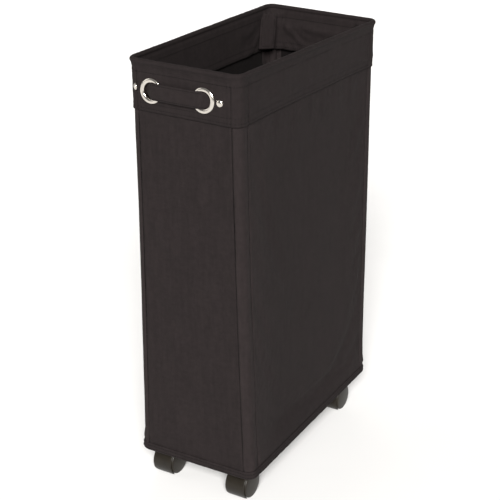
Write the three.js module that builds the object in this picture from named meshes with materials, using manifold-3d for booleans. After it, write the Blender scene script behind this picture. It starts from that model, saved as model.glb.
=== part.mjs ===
// A slim laundry bin on four swivel casters: a fabric bag on a board, held up by four corner posts and
// a wire rim, with a strap handle through two eyelets on each narrow face.
// Millimetres. X across the narrow face, Y along the long face, Z up; the floor is z = 0.
import * as THREE from 'three';
import * as BufferGeometryUtils from 'three/addons/utils/BufferGeometryUtils.js';
import Module from 'manifold-3d';

const wasm = await Module();
wasm.setup();

// ---------- driving dimensions ----------
const WIDTH = 180;             // over the rim, along X
const LENGTH = 380;            // over the rim, along Y
const HEIGHT = 625;            // floor to the top of the rim
const BAG_BOTTOM = 45;         // floor to the underside of the bag
const RIM_CORNER = 16.4;       // outer corner radius of the rim, seen from above
const CLOTH = 1.2;             // thickness of one fabric wall
const GAP = 0.3;               // clearance between touching pieces

const WIRE_RADIUS = 2.1;       // rim wire
const ROLL_RADIUS = 3.5;       // rim wire with its fabric casing
const WALL_INSET = 4.4;        // from the rim's outer edge to the outside of the walls
const BAND_DEPTH = 65;         // folded fabric band under the rim
const CASING_DEPTH = 17;       // from the rim top to the stitch line under the wire
const WALL_TOP = HEIGHT - 19;  // upper edge of the wall fabric, inside the band
const SIDE_SEAM = 20;          // from the bag corner to the seam on the long face

const POST_RADIUS = 4;
const POST_WALL = 0.8;
const POST_INSET = 4.6;        // from the corner arc's centre towards the corner, along the diagonal
const SLEEVE_RADIUS = 5.9;     // outside of the fabric channel around a post

const BOARD_THICKNESS = 9;
const INSERT_THICKNESS = 3;
const BINDING_HEIGHT = 12;
const BINDING_THICKNESS = 2.3;

const HANDLE_DROP = 40;        // from the rim top to the handle's centre line
const HANDLE_SHIFT = 2;        // off the middle, to the left of someone facing the handle
const POCKET = 4.5;            // the band's inner leg stands off the narrow walls to hold the strap ends
const EYELET_X = 41.5;         // from the handle's middle
const EYELET_HOLE = 11.5;      // radius
const EYELET_RADIUS = 17;
const RIVET_X = 64.5;
const RIVET_RADIUS = 5.4;
const RIVET_SHAFT = 2.1;
const RIVET_BACK = 4;          // radius of the head behind the strap
const STRAP_WIDTH = 22;
const STRAP_THICKNESS = 1.8;

const STEM_X = 62;             // caster stems, from the middle
const STEM_Y = 142.5;
const TRAIL = 14.5;            // from a stem to its wheels' axle, towards -Y
const WHEEL_RADIUS = 20;
const WHEEL_INNER = 2.9;       // wheel faces, from the middle of the caster
const WHEEL_OUTER = 15.5;
const AXLE_RADIUS = 1.9;

// ---------- derived places ----------
const CX = WIDTH / 2 - RIM_CORNER;     // centre of every corner arc
const CY = LENGTH / 2 - RIM_CORNER;
const WALL = RIM_CORNER - WALL_INSET;  // outside of the walls, from the corner arc's centre
const WALL_IN = WALL - CLOTH;
const WALL_X = CX + WALL;
const WALL_Y = CY + WALL;
const ROLL_CENTRE = RIM_CORNER - ROLL_RADIUS;
const ROLL_Z = HEIGHT - ROLL_RADIUS;
const BAND_OUT = WALL + GAP;           // inner surface of the band's outer leg
const BAND_IN = WALL_IN - GAP;         // outer surface of the band's inner leg
const LEG = 1.1;                       // thickness of each band leg
const BAND_BOTTOM = HEIGHT - BAND_DEPTH;
const HANDLE_Z = HEIGHT - HANDLE_DROP;
const COVER_TOP = BAG_BOTTOM + CLOTH;
const BOARD_BOTTOM = COVER_TOP + GAP;
const BOARD_TOP = BOARD_BOTTOM + BOARD_THICKNESS;
const INSERT_BOTTOM = BOARD_TOP + 0.5;
const SLEEVE_BOTTOM = BAG_BOTTOM + BINDING_HEIGHT;
const POST_X = CX + POST_INSET / Math.SQRT2;
const POST_Y = CY + POST_INSET / Math.SQRT2;

// ---------- materials ----------
function finish(color, roughness, metalness) {
  return new THREE.MeshStandardMaterial({ color, roughness, metalness });
}
const FABRIC = finish(0x2f2b2b, 0.9, 0);
const FABRIC_TRIM = finish(0x292525, 0.88, 0);
const CHROME = finish(0xc9c4bd, 0.2, 1);
const STEEL = finish(0x8b8d90, 0.4, 1);
const PLASTIC = finish(0x24221e, 0.45, 0);
const WHEEL_PLASTIC = finish(0x2a2721, 0.5, 0);
const BOARD = finish(0x8a6b4a, 0.85, 0);

// ---------- geometry helpers ----------
function toSolid(geometry) {
  const bare = geometry.index ? geometry.toNonIndexed() : geometry.clone();
  bare.deleteAttribute('normal');
  bare.deleteAttribute('uv');
  const merged = BufferGeometryUtils.mergeVertices(bare, 1e-4);
  const mesh = new wasm.Mesh({
    numProp: 3,
    vertProperties: new Float32Array(merged.attributes.position.array),
    triVerts: new Uint32Array(merged.index.array),
  });
  return new wasm.Manifold(mesh);
}

function toGeometry(solid) {
  const mesh = solid.getMesh();
  const geometry = new THREE.BufferGeometry();
  geometry.setAttribute('position', new THREE.BufferAttribute(new Float32Array(mesh.vertProperties), 3));
  geometry.setIndex(new THREE.BufferAttribute(new Uint32Array(mesh.triVerts), 1));
  geometry.computeVertexNormals();
  return geometry;
}

function cut(geometry, tools) {
  let solid = toSolid(geometry);
  for (const tool of tools) {
    solid = solid.subtract(toSolid(tool));
  }
  return toGeometry(solid);
}

function join(geometries) {
  let solid = toSolid(geometries[0]);
  for (const geometry of geometries.slice(1)) {
    solid = solid.add(toSolid(geometry));
  }
  return toGeometry(solid);
}

function box(x0, x1, y0, y1, z0, z1) {
  const geometry = new THREE.BoxGeometry(x1 - x0, y1 - y0, z1 - z0);
  geometry.translate((x0 + x1) / 2, (y0 + y1) / 2, (z0 + z1) / 2);
  return geometry;
}

function cylinderZ(x, y, radius, z0, z1, sides) {
  const geometry = new THREE.CylinderGeometry(radius, radius, z1 - z0, sides);
  geometry.rotateX(Math.PI / 2);
  geometry.translate(x, y, (z0 + z1) / 2);
  return geometry;
}

function cylinderY(x, z, radius, y0, y1, sides) {
  const geometry = new THREE.CylinderGeometry(radius, radius, y1 - y0, sides);
  geometry.translate(x, (y0 + y1) / 2, z);
  return geometry;
}

function cylinderX(y, z, radius, x0, x1, sides) {
  const geometry = new THREE.CylinderGeometry(radius, radius, x1 - x0, sides);
  geometry.rotateZ(Math.PI / 2);
  geometry.translate((x0 + x1) / 2, y, z);
  return geometry;
}

function slab(shape, z0, z1, curveSegments) {
  const options = { depth: z1 - z0, bevelEnabled: false, curveSegments };
  const geometry = new THREE.ExtrudeGeometry(shape, options);
  geometry.translate(0, 0, z0);
  return geometry;
}

// A rounded rectangle whose corner arcs share the bag's corner centres.
function plan(radius) {
  const shape = new THREE.Shape();
  shape.moveTo(-CX, -CY - radius);
  shape.lineTo(CX, -CY - radius);
  shape.absarc(CX, -CY, radius, -Math.PI / 2, 0, false);
  shape.lineTo(CX + radius, CY);
  shape.absarc(CX, CY, radius, 0, Math.PI / 2, false);
  shape.lineTo(-CX, CY + radius);
  shape.absarc(-CX, CY, radius, Math.PI / 2, Math.PI, false);
  shape.lineTo(-CX - radius, -CY);
  shape.absarc(-CX, -CY, radius, Math.PI, 1.5 * Math.PI, false);
  return shape;
}

// Carries a closed profile of [distance from the corner centre, height] points once around the bag.
// A third number moves a point in from the narrow faces.
function aroundBag(profile, cornerSteps) {
  const quadrants = [[1, 1], [-1, 1], [-1, -1], [1, -1]];
  const points = [];
  quadrants.forEach(([sx, sy], quadrant) => {
    for (let step = 0; step <= cornerSteps; step += 1) {
      const angle = (quadrant + step / cornerSteps) * Math.PI / 2;
      for (const [radius, z, inset = 0] of profile) {
        points.push(sx * CX + radius * Math.cos(angle), sy * (CY - inset) + radius * Math.sin(angle), z);
      }
    }
  });
  const stations = points.length / 3 / profile.length;
  const index = [];
  for (let i = 0; i < stations; i += 1) {
    for (let j = 0; j < profile.length; j += 1) {
      const next = (i + 1) % stations;
      const up = (j + 1) % profile.length;
      const a = i * profile.length + j;
      const b = next * profile.length + j;
      const c = next * profile.length + up;
      const d = i * profile.length + up;
      index.push(a, b, c, a, c, d);
    }
  }
  const geometry = new THREE.BufferGeometry();
  geometry.setAttribute('position', new THREE.Float32BufferAttribute(points, 3));
  geometry.setIndex(index);
  geometry.computeVertexNormals();
  return geometry;
}

function arcPoints(radius, z, size, from, to, steps) {
  const points = [];
  for (let i = 0; i <= steps; i += 1) {
    const angle = from + (to - from) * i / steps;
    points.push([radius + size * Math.cos(angle), z + size * Math.sin(angle)]);
  }
  return points;
}

// ---------- assembly ----------
const laundryBin = new THREE.Group();
laundryBin.name = 'laundry_bin';

function add(name, geometry, material, place = {}) {
  const mesh = new THREE.Mesh(geometry, material);
  mesh.name = name;
  mesh.position.set(place.x ?? 0, place.y ?? 0, place.z ?? 0);
  mesh.scale.set(place.mirrorX ?? 1, place.mirrorY ?? 1, 1);
  laundryBin.add(mesh);
}

// front is the -Y face, right is the +X face.
const CORNERS = [];
for (const [end, sy] of [['front', -1], ['back', 1]]) {
  for (const [side, sx] of [['left', -1], ['right', 1]]) {
    CORNERS.push({ name: `${end}_${side}`, sx, sy });
  }
}

// ---------- rim wire ----------
const wireProfile = arcPoints(ROLL_CENTRE, ROLL_Z, WIRE_RADIUS, 0, 2 * Math.PI, 10).slice(0, -1);
add('rim_wire', aroundBag(wireProfile, 6), STEEL);

// ---------- top band: folded over the wire, an outer and an inner leg ----------
// The holes go through the band's outer leg and the wall, not through its inner leg.
function handleHoles() {
  const holes = [];
  for (const sy of [-1, 1]) {
    const ends = [sy * (WALL_Y - 2 * CLOTH), sy * (WALL_Y + 2 * CLOTH)];
    const [y0, y1] = ends.sort((a, b) => a - b);
    for (const sx of [-1, 1]) {
      const middle = sy * HANDLE_SHIFT;
      holes.push(cylinderY(middle + sx * EYELET_X, HANDLE_Z, EYELET_HOLE + 1.2, y0, y1, 16));
      holes.push(cylinderY(middle + sx * RIVET_X, HANDLE_Z, RIVET_SHAFT + 2 * GAP, y0, y1, 8));
    }
  }
  return holes;
}

// The inner leg is open at each corner, where the post meets the wire.
function cornerOpening({ sx, sy }) {
  const inX = POST_X - SLEEVE_RADIUS - 2 * GAP;
  const inY = POST_Y - SLEEVE_RADIUS - 2 * GAP;
  const shape = new THREE.Shape();
  shape.moveTo(inX, inY);
  shape.lineTo(CX + WALL, inY);
  shape.lineTo(CX + WALL, CY);
  shape.absarc(CX, CY, WALL, 0, Math.PI / 2, false);
  shape.lineTo(inX, CY + WALL);
  const geometry = slab(shape, BAND_BOTTOM - 5, ROLL_Z - WIRE_RADIUS - 0.2, 5);
  return mirrored(geometry, sx, sy);
}

function mirrored(geometry, sx, sy) {
  const copy = geometry.index ? geometry.toNonIndexed() : geometry.clone();
  const position = copy.attributes.position;
  for (let i = 0; i < position.count; i += 1) {
    position.setXY(i, sx * position.getX(i), sy * position.getY(i));
  }
  if (sx * sy < 0) {
    for (let i = 0; i < position.count; i += 3) {
      const x = position.getX(i + 1);
      const y = position.getY(i + 1);
      const z = position.getZ(i + 1);
      position.setXYZ(i + 1, position.getX(i + 2), position.getY(i + 2), position.getZ(i + 2));
      position.setXYZ(i + 2, x, y, z);
    }
  }
  return copy;
}

const casingZ = HEIGHT - CASING_DEPTH;
const legIn = BAND_IN - LEG;
const rollInner = ROLL_RADIUS - LEG;
const bandProfile = [
  [BAND_OUT + LEG, BAND_BOTTOM],
  [BAND_OUT + LEG, casingZ],
  ...arcPoints(ROLL_CENTRE, ROLL_Z, ROLL_RADIUS, 0, Math.PI, 8),
  [legIn, casingZ],
  [legIn, casingZ - 2 * POCKET, POCKET],
  [legIn, BAND_BOTTOM, POCKET],
  [BAND_IN, BAND_BOTTOM, POCKET],
  [BAND_IN, casingZ - 2 * POCKET, POCKET],
  [BAND_IN, casingZ],
  ...arcPoints(ROLL_CENTRE, ROLL_Z, rollInner, Math.PI, 0, 8),
  [BAND_OUT, casingZ],
  [BAND_OUT, BAND_BOTTOM],
];
const bandCuts = [...handleHoles(), ...CORNERS.map(cornerOpening)];
add('top_band', cut(aroundBag(bandProfile, 6), bandCuts), FABRIC);

// ---------- wall panels ----------
for (const [end, sy] of [['front', -1], ['back', 1]]) {
  const half = CX - GAP;
  const y0 = Math.min(sy * (WALL_Y - CLOTH), sy * WALL_Y);
  const sheet = box(-half, half, y0, y0 + CLOTH, BOARD_BOTTOM, WALL_TOP);
  add(`${end}_panel`, cut(sheet, handleHoles()), FABRIC);
}
for (const [side, sx] of [['left', -1], ['right', 1]]) {
  const half = WALL_Y - SIDE_SEAM - GAP;
  const x0 = Math.min(sx * (WALL_X - CLOTH), sx * WALL_X);
  add(`${side}_panel`, box(x0, x0 + CLOTH, -half, half, BOARD_BOTTOM, WALL_TOP), FABRIC);
}

// ---------- corner sleeves: the rounded corner and a channel sewn inside it for the post ----------
function sleeveGeometry() {
  const inner = CX + WALL_IN;
  const channelX = POST_X - SLEEVE_RADIUS;
  const channelY = POST_Y - SLEEVE_RADIUS;
  const shape = new THREE.Shape();
  shape.moveTo(CX, WALL_Y);
  shape.lineTo(CX, WALL_Y - CLOTH - GAP);
  shape.lineTo(channelX, WALL_Y - CLOTH - GAP);
  shape.lineTo(channelX, POST_Y);
  shape.absarc(POST_X, POST_Y, SLEEVE_RADIUS, Math.PI, 1.5 * Math.PI, false);
  shape.lineTo(inner, channelY);
  shape.lineTo(inner, WALL_Y - SIDE_SEAM);
  shape.lineTo(WALL_X, WALL_Y - SIDE_SEAM);
  shape.absarc(CX, CY, WALL, 0, Math.PI / 2, false);
  const hole = new THREE.Path();
  hole.moveTo(channelX + CLOTH, WALL_Y - 2 * CLOTH - GAP);
  hole.lineTo(CX + CLOTH, WALL_Y - 2 * CLOTH - GAP);
  hole.lineTo(CX + CLOTH, CY + WALL_IN * Math.cos(Math.asin(CLOTH / WALL_IN)));
  hole.absarc(CX, CY, WALL_IN, Math.PI / 2 - Math.asin(CLOTH / WALL_IN), 0, true);
  hole.lineTo(inner, channelY + CLOTH);
  hole.lineTo(POST_X, channelY + CLOTH);
  hole.absarc(POST_X, POST_Y, SLEEVE_RADIUS - CLOTH, 1.5 * Math.PI, Math.PI, true);
  shape.holes.push(hole);
  return slab(shape, SLEEVE_BOTTOM, WALL_TOP, 6);
}
for (const corner of CORNERS) {
  add(`corner_sleeve_${corner.name}`, mirrored(sleeveGeometry(), corner.sx, corner.sy), FABRIC);
}

// ---------- corner posts and the clips that carry the wire ----------
const POST_FOOT = BOARD_BOTTOM + 3;
const POST_TOP = WALL_TOP + 6;
function postGeometry() {
  const points = [
    new THREE.Vector2(POST_RADIUS - POST_WALL, 0),
    new THREE.Vector2(POST_RADIUS, 0),
    new THREE.Vector2(POST_RADIUS, POST_TOP - POST_FOOT - GAP),
    new THREE.Vector2(POST_RADIUS - POST_WALL, POST_TOP - POST_FOOT - GAP),
    new THREE.Vector2(POST_RADIUS - POST_WALL, 0),
  ];
  const geometry = new THREE.LatheGeometry(points, 12);
  geometry.rotateX(Math.PI / 2);
  return geometry;
}

const CLIP_RADIUS = 5.2;
const CLIP_ARM = 2.5;          // half width of the arm under the wire
function clipGeometry() {
  const clipBottom = WALL_TOP + GAP;
  const armTop = ROLL_Z - WIRE_RADIUS - GAP;
  const cap = cylinderZ(0, 0, CLIP_RADIUS, clipBottom, POST_TOP + 5, 14);
  const arm = box(0, ROLL_CENTRE - POST_INSET - GAP, -CLIP_ARM, CLIP_ARM, POST_TOP + 1.5, armTop);
  const saddle = join([cap, arm]);
  const socket = cylinderZ(0, 0, POST_RADIUS + GAP, clipBottom - 1, POST_TOP + GAP, 12);
  const geometry = cut(saddle, [socket]);
  geometry.rotateZ(Math.PI / 4);
  geometry.translate(POST_X, POST_Y, 0);
  return geometry;
}
for (const { name, sx, sy } of CORNERS) {
  add(`corner_post_${name}`, postGeometry(), STEEL, { x: sx * POST_X, y: sy * POST_Y, z: POST_FOOT + GAP });
  add(`post_clip_${name}`, mirrored(clipGeometry(), sx, sy), PLASTIC);
}

// ---------- corner flaps: tabs that cover the post and wire joints from inside ----------
const FLAP_WIDTH = 24;
const FLAP_LENGTH = 57;
const FLAP_INSET = 6.8;        // from the corner arc's centre towards the middle, along the diagonal
function flapGeometry() {
  const top = ROLL_Z - ROLL_RADIUS - 1;
  const geometry = box(-FLAP_INSET - CLOTH, -FLAP_INSET, -FLAP_WIDTH / 2, FLAP_WIDTH / 2, top - FLAP_LENGTH, top);
  geometry.rotateZ(Math.PI / 4);
  geometry.translate(CX, CY, 0);
  return geometry;
}
for (const { name, sx, sy } of CORNERS) {
  add(`corner_flap_${name}`, mirrored(flapGeometry(), sx, sy), FABRIC_TRIM);
}

// ---------- base: fabric cover, board, loose insert and the binding around the bottom edge ----------
const SOCKET_RADIUS = 6.2;
function stemHoles(radius, z0, z1) {
  return CORNERS.map(({ sx, sy }) => cylinderZ(sx * STEM_X, sy * STEM_Y, radius, z0, z1, 14));
}
function postHoles() {
  const radius = POST_RADIUS + GAP;
  return CORNERS.map(({ sx, sy }) => cylinderZ(sx * POST_X, sy * POST_Y, radius, POST_FOOT, BOARD_TOP + 1, 12));
}
const coverSheet = slab(plan(WALL), BAG_BOTTOM, COVER_TOP, 6);
add('bottom_cover', cut(coverSheet, stemHoles(SOCKET_RADIUS + GAP, 0, BOARD_TOP)), FABRIC_TRIM);

const boardBlank = slab(plan(WALL_IN - GAP), BOARD_BOTTOM, BOARD_TOP, 6);
const boardHoles = [...stemHoles(SOCKET_RADIUS + GAP, 0, BOARD_TOP + 1), ...postHoles()];
add('base_board', cut(boardBlank, boardHoles), BOARD);

const INSERT_CHAMFER = 24;     // clears the corner sleeves
function insertShape() {
  const x = CX + WALL_IN - 2 * GAP;
  const y = CY + WALL_IN - 2 * GAP;
  const shape = new THREE.Shape();
  shape.moveTo(x - INSERT_CHAMFER, -y);
  shape.lineTo(x, -y + INSERT_CHAMFER);
  shape.lineTo(x, y - INSERT_CHAMFER);
  shape.lineTo(x - INSERT_CHAMFER, y);
  shape.lineTo(-x + INSERT_CHAMFER, y);
  shape.lineTo(-x, y - INSERT_CHAMFER);
  shape.lineTo(-x, -y + INSERT_CHAMFER);
  shape.lineTo(-x + INSERT_CHAMFER, -y);
  return shape;
}
add('floor_insert', slab(insertShape(), INSERT_BOTTOM, INSERT_BOTTOM + INSERT_THICKNESS, 1), FABRIC_TRIM);

const bindingProfile = [
  [WALL + GAP, BAG_BOTTOM],
  [WALL + GAP + BINDING_THICKNESS, BAG_BOTTOM],
  [WALL + GAP + BINDING_THICKNESS, BAG_BOTTOM + BINDING_HEIGHT],
  [WALL + GAP, BAG_BOTTOM + BINDING_HEIGHT],
];
add('bottom_binding', aroundBag(bindingProfile, 6), FABRIC_TRIM);

// ---------- handles: eyelets, strap and rivets on both narrow faces ----------
const BAND_FACE = CY + BAND_OUT + LEG;       // outside of the band
const FLANGE_OUT = BAND_FACE + GAP;
const FLANGE_IN = WALL_Y - CLOTH - GAP;      // behind the wall
const INNER_FLANGE = 0.8;
const RING_RISE = 2.3;
function eyeletGeometry() {
  const middle = (EYELET_HOLE + EYELET_RADIUS) / 2;
  const outline = [
    [EYELET_HOLE, FLANGE_IN - INNER_FLANGE],
    [EYELET_RADIUS - 1.5, FLANGE_IN - INNER_FLANGE],
    [EYELET_RADIUS - 1.5, FLANGE_IN],
    [EYELET_HOLE + 0.9, FLANGE_IN],
    [EYELET_HOLE + 0.9, FLANGE_OUT],
    [EYELET_RADIUS, FLANGE_OUT],
    [EYELET_RADIUS - 0.5, FLANGE_OUT + 0.6 * RING_RISE],
    [middle + 1, FLANGE_OUT + RING_RISE],
    [middle - 1, FLANGE_OUT + RING_RISE],
    [EYELET_HOLE + 0.5, FLANGE_OUT + 0.6 * RING_RISE],
    [EYELET_HOLE, FLANGE_OUT],
  ];
  const points = outline.map(([radius, y]) => new THREE.Vector2(radius, y));
  points.push(points[0].clone());
  return new THREE.LatheGeometry(points, 20);
}

const STRAP_OUT = FLANGE_OUT + RING_RISE + GAP + STRAP_THICKNESS / 2;
const STRAP_IN = FLANGE_IN - INNER_FLANGE - GAP - STRAP_THICKNESS / 2;
const STRAP_END = RIVET_X + RIVET_BACK;
function rivetGeometry() {
  const back = STRAP_IN - STRAP_THICKNESS / 2 - GAP;
  const outline = [
    [0, back - 1],
    [RIVET_BACK, back - 1],
    [RIVET_BACK, back],
    [RIVET_SHAFT, back],
    [RIVET_SHAFT, FLANGE_OUT],
    [RIVET_RADIUS, FLANGE_OUT],
    [RIVET_RADIUS - 0.6, FLANGE_OUT + 1],
    [RIVET_RADIUS - 2.5, FLANGE_OUT + 1.9],
    [0, FLANGE_OUT + 2.2],
  ];
  return new THREE.LatheGeometry(outline.map(([radius, y]) => new THREE.Vector2(radius, y)), 12);
}

// The strap's centre line from above, from the middle to its end behind the band.
function strapHalfRoute() {
  const route = [[0, STRAP_OUT], [EYELET_X - 13, STRAP_OUT]];
  const steps = 8;
  for (let i = 0; i <= steps; i += 1) {
    const t = i / steps;
    const ease = t * t * (3 - 2 * t);
    route.push([EYELET_X - 9 + 18 * t, STRAP_OUT + (STRAP_IN - STRAP_OUT) * ease]);
  }
  route.push([EYELET_X + 11, STRAP_IN], [STRAP_END, STRAP_IN]);
  return route;
}

function strapGeometry() {
  const half = strapHalfRoute();
  const route = [...half.slice(1).reverse().map(([x, y]) => [-x, y]), ...half];
  const outer = [];
  const inner = [];
  route.forEach(([x, y], i) => {
    const [px, py] = route[Math.max(i - 1, 0)];
    const [nx, ny] = route[Math.min(i + 1, route.length - 1)];
    const size = Math.hypot(nx - px, ny - py);
    const offsetX = -(ny - py) / size * STRAP_THICKNESS / 2;
    const offsetY = (nx - px) / size * STRAP_THICKNESS / 2;
    outer.push(new THREE.Vector2(x + offsetX, y + offsetY));
    inner.push(new THREE.Vector2(x - offsetX, y - offsetY));
  });
  const strip = slab(new THREE.Shape([...inner, ...outer.reverse()]), -STRAP_WIDTH / 2, STRAP_WIDTH / 2, 1);
  const wide = STRAP_WIDTH / 2 + 1;
  const narrow = 8;
  const neck = new THREE.Shape();
  neck.moveTo(EYELET_X - 13, wide);
  neck.lineTo(EYELET_X - 9, narrow);
  neck.lineTo(EYELET_X + 9, narrow);
  neck.lineTo(EYELET_X + 13, wide);
  const trims = [];
  for (const sx of [-1, 1]) {
    for (const sz of [-1, 1]) {
      const wedge = mirrored(slab(neck, -STRAP_OUT - 10, -STRAP_IN + 10, 1), sx, sz);
      wedge.rotateX(Math.PI / 2);
      trims.push(wedge);
    }
  }
  return cut(strip, trims);
}

for (const [end, sy] of [['front', -1], ['back', 1]]) {
  const middle = sy * HANDLE_SHIFT;
  for (const [side, sx] of [['left', -1], ['right', 1]]) {
    const eyelet = eyeletGeometry();
    eyelet.translate(middle + sx * EYELET_X, 0, HANDLE_Z);
    add(`eyelet_${end}_${side}`, mirrored(eyelet, 1, sy), CHROME);
    const rivet = rivetGeometry();
    rivet.translate(middle + sx * RIVET_X, 0, HANDLE_Z);
    add(`rivet_${end}_${side}`, mirrored(rivet, 1, sy), CHROME);
  }
  const holes = [-1, 1].map((sx) => cylinderY(sx * RIVET_X, 0, RIVET_SHAFT + GAP, 0, LENGTH, 12));
  const strap = cut(strapGeometry(), holes);
  strap.translate(middle, 0, HANDLE_Z);
  add(`handle_strap_${end}`, mirrored(strap, 1, sy), FABRIC_TRIM);
}

// ---------- casters: socket in the board, hood with stem, axle and two wheels ----------
const HOOD_INNER = WHEEL_RADIUS + 0.7;
const HOOD_OUTER = WHEEL_RADIUS + 2.3;
const HOOD_TOP = WHEEL_RADIUS + HOOD_OUTER;
const HOOD_BACK_END = 0.9;             // shell ends, in radians from the +Y direction, upwards
const HOOD_FRONT_END = Math.PI + 0.85;
const AXLE_BOSS = 6;
const WEB_HALF = 2.3;
const STEM_RADIUS = 4;
const FLANGE_RADIUS = 9;
const FLANGE_BOTTOM = BAG_BOTTOM - GAP - 1.1;

function socketGeometry() {
  const bore = STEM_RADIUS + GAP;
  const outline = [
    [bore, FLANGE_BOTTOM],
    [FLANGE_RADIUS, FLANGE_BOTTOM],
    [FLANGE_RADIUS, BAG_BOTTOM - GAP],
    [SOCKET_RADIUS, BAG_BOTTOM - GAP],
    [SOCKET_RADIUS, BOARD_TOP],
    [bore, BOARD_TOP],
    [bore, FLANGE_BOTTOM],
  ];
  const geometry = new THREE.LatheGeometry(outline.map(([radius, z]) => new THREE.Vector2(radius, z)), 14);
  geometry.rotateX(Math.PI / 2);
  return geometry;
}

// A side view, with +x along +Y and its origin on the axle, made as thick as the caster is wide.
function acrossCaster(shape, half, steps) {
  const geometry = slab(shape, -half, half, steps);
  geometry.rotateX(Math.PI / 2);
  geometry.rotateZ(Math.PI / 2);
  geometry.translate(0, -TRAIL, WHEEL_RADIUS);
  return geometry;
}

// A shell over the wheels, a web between them, a top plate and the stem.
function hoodGeometry() {
  const shell = new THREE.Shape();
  shell.absarc(0, 0, HOOD_OUTER, HOOD_BACK_END, HOOD_FRONT_END, false);
  shell.absarc(0, 0, HOOD_INNER, HOOD_FRONT_END, HOOD_BACK_END, true);
  const webEnd = TRAIL + FLANGE_RADIUS - 1;
  const web = new THREE.Shape();
  web.absarc(0, 0, AXLE_BOSS, Math.PI, 1.7 * Math.PI, false);
  web.lineTo(webEnd, HOOD_OUTER - 3);
  web.lineTo(webEnd, HOOD_OUTER - 0.5);
  web.lineTo(-10, HOOD_OUTER - 3.6);
  const hood = join([
    acrossCaster(shell, WHEEL_OUTER, 14),
    acrossCaster(web, WEB_HALF, 5),
    cylinderZ(0, 0, FLANGE_RADIUS, HOOD_TOP - 2.2, HOOD_TOP, 20),
    cylinderZ(0, 0, STEM_RADIUS, HOOD_TOP - 1, BOARD_TOP - 1, 12),
  ]);
  const axleHole = cylinderX(-TRAIL, WHEEL_RADIUS, AXLE_RADIUS + GAP, -WHEEL_RADIUS, WHEEL_RADIUS, 12);
  return cut(hood, [axleHole]);
}

function wheelGeometry() {
  const outline = [
    [0, WHEEL_OUTER - 2],
    [AXLE_RADIUS + GAP, WHEEL_OUTER - 2],
    [AXLE_RADIUS + GAP, WHEEL_INNER],
    [WHEEL_RADIUS - 0.8, WHEEL_INNER],
    [WHEEL_RADIUS, WHEEL_INNER + 0.8],
    [WHEEL_RADIUS, WHEEL_OUTER - 0.4],
    [WHEEL_RADIUS - 1.6, WHEEL_OUTER + 1.2],
    [WHEEL_RADIUS - 8, WHEEL_OUTER + 2.6],
    [0, WHEEL_OUTER + 3],
  ];
  const geometry = new THREE.LatheGeometry(outline.map(([radius, x]) => new THREE.Vector2(radius, x)), 24);
  geometry.rotateZ(-Math.PI / 2);
  return geometry;
}

for (const { name, sx, sy } of CORNERS) {
  const x = sx * STEM_X;
  const y = sy * STEM_Y;
  add(`caster_socket_${name}`, socketGeometry(), STEEL, { x, y });
  add(`caster_hood_${name}`, hoodGeometry(), PLASTIC, { x, y });
  const axleHalf = WHEEL_OUTER - 2 - GAP;
  add(`caster_axle_${name}`, cylinderX(0, 0, AXLE_RADIUS, -axleHalf, axleHalf, 12), STEEL,
    { x, y: y - TRAIL, z: WHEEL_RADIUS });
  for (const [hand, hx] of [['a', -1], ['b', 1]]) {
    const wheel = mirrored(wheelGeometry(), hx, 1);
    add(`wheel_${name}_${hand}`, wheel, WHEEL_PLASTIC, { x, y: y - TRAIL, z: WHEEL_RADIUS });
  }
}

export default laundryBin;
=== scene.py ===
import math

import bpy
import numpy as np
from mathutils import Matrix, Vector


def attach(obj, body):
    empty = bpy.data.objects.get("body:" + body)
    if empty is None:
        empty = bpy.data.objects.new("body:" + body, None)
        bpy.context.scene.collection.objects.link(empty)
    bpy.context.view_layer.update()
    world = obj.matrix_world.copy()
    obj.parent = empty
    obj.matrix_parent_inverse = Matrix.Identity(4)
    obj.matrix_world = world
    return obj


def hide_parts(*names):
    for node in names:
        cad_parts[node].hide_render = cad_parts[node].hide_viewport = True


# A slim laundry bin on four casters: the looks of its fabric bag, chrome fittings and wheels.
# Metres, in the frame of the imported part: X across the narrow face, Y along the long face, Z up.

MM = 0.001

# ---------- driving dimensions ----------
CORNER_X = 73.6 * MM          # centres of the bag's corner arcs
CORNER_Y = 173.6 * MM
WALL = 12.0 * MM              # every radius is measured from those centres
CLOTH = 1.2 * MM
GAP = 0.3 * MM
BAG_BOTTOM = 45 * MM
BAG_TOP = 625 * MM
WALL_FOOT = 46.6 * MM
WALL_TOP = 606 * MM
CHANNEL_FOOT = 60.2 * MM

WIRE = 2.1 * MM
ROLL = 3.5 * MM               # rim wire with its casing
ROLL_AT = 12.9 * MM
ROLL_Z = 621.5 * MM
CASING_Z = 608 * MM           # stitch line under the wire
BAND_FOOT = 557 * MM
HEM_ROWS = (BAND_FOOT + 4 * MM, BAND_FOOT + 11 * MM)
INNER_TOP = 616.5 * MM        # ends of the band's inner leg
INNER_FOOT = 560 * MM
LEG = 1.1 * MM                # thickness of each band leg
POCKET = 4.5 * MM             # room for the strap ends behind the narrow walls

SIDE_SEAM = 8.0 * MM          # from a corner arc to the seam on the long face
POST_AT = (4.6 / math.sqrt(2)) * MM
POST = 4.0 * MM
CHANNEL = 5.9 * MM            # outside of the cloth channel around a post
CHANNEL_CLOTH = 0.9 * MM

BINDING_TOP = 57 * MM
BINDING = 2.3 * MM

HANDLE_Z = 585.6 * MM
HANDLE_SHIFT = 8.0 * MM       # the handle sits off the middle of its face
EYELET_X = 41.3 * MM
EYELET_HOLE = 10.6 * MM
EYELET_RADIUS = 16.8 * MM
RIVET_X = 66.3 * MM
RIVET_RADIUS = 5.0 * MM
STRAP_WIDTH = 22 * MM
STRAP_THICK = 1.8 * MM

STEM_X = 62 * MM
STEM_Y = 142.5 * MM
TRAIL = 14.5 * MM
WHEEL = 20 * MM

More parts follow.
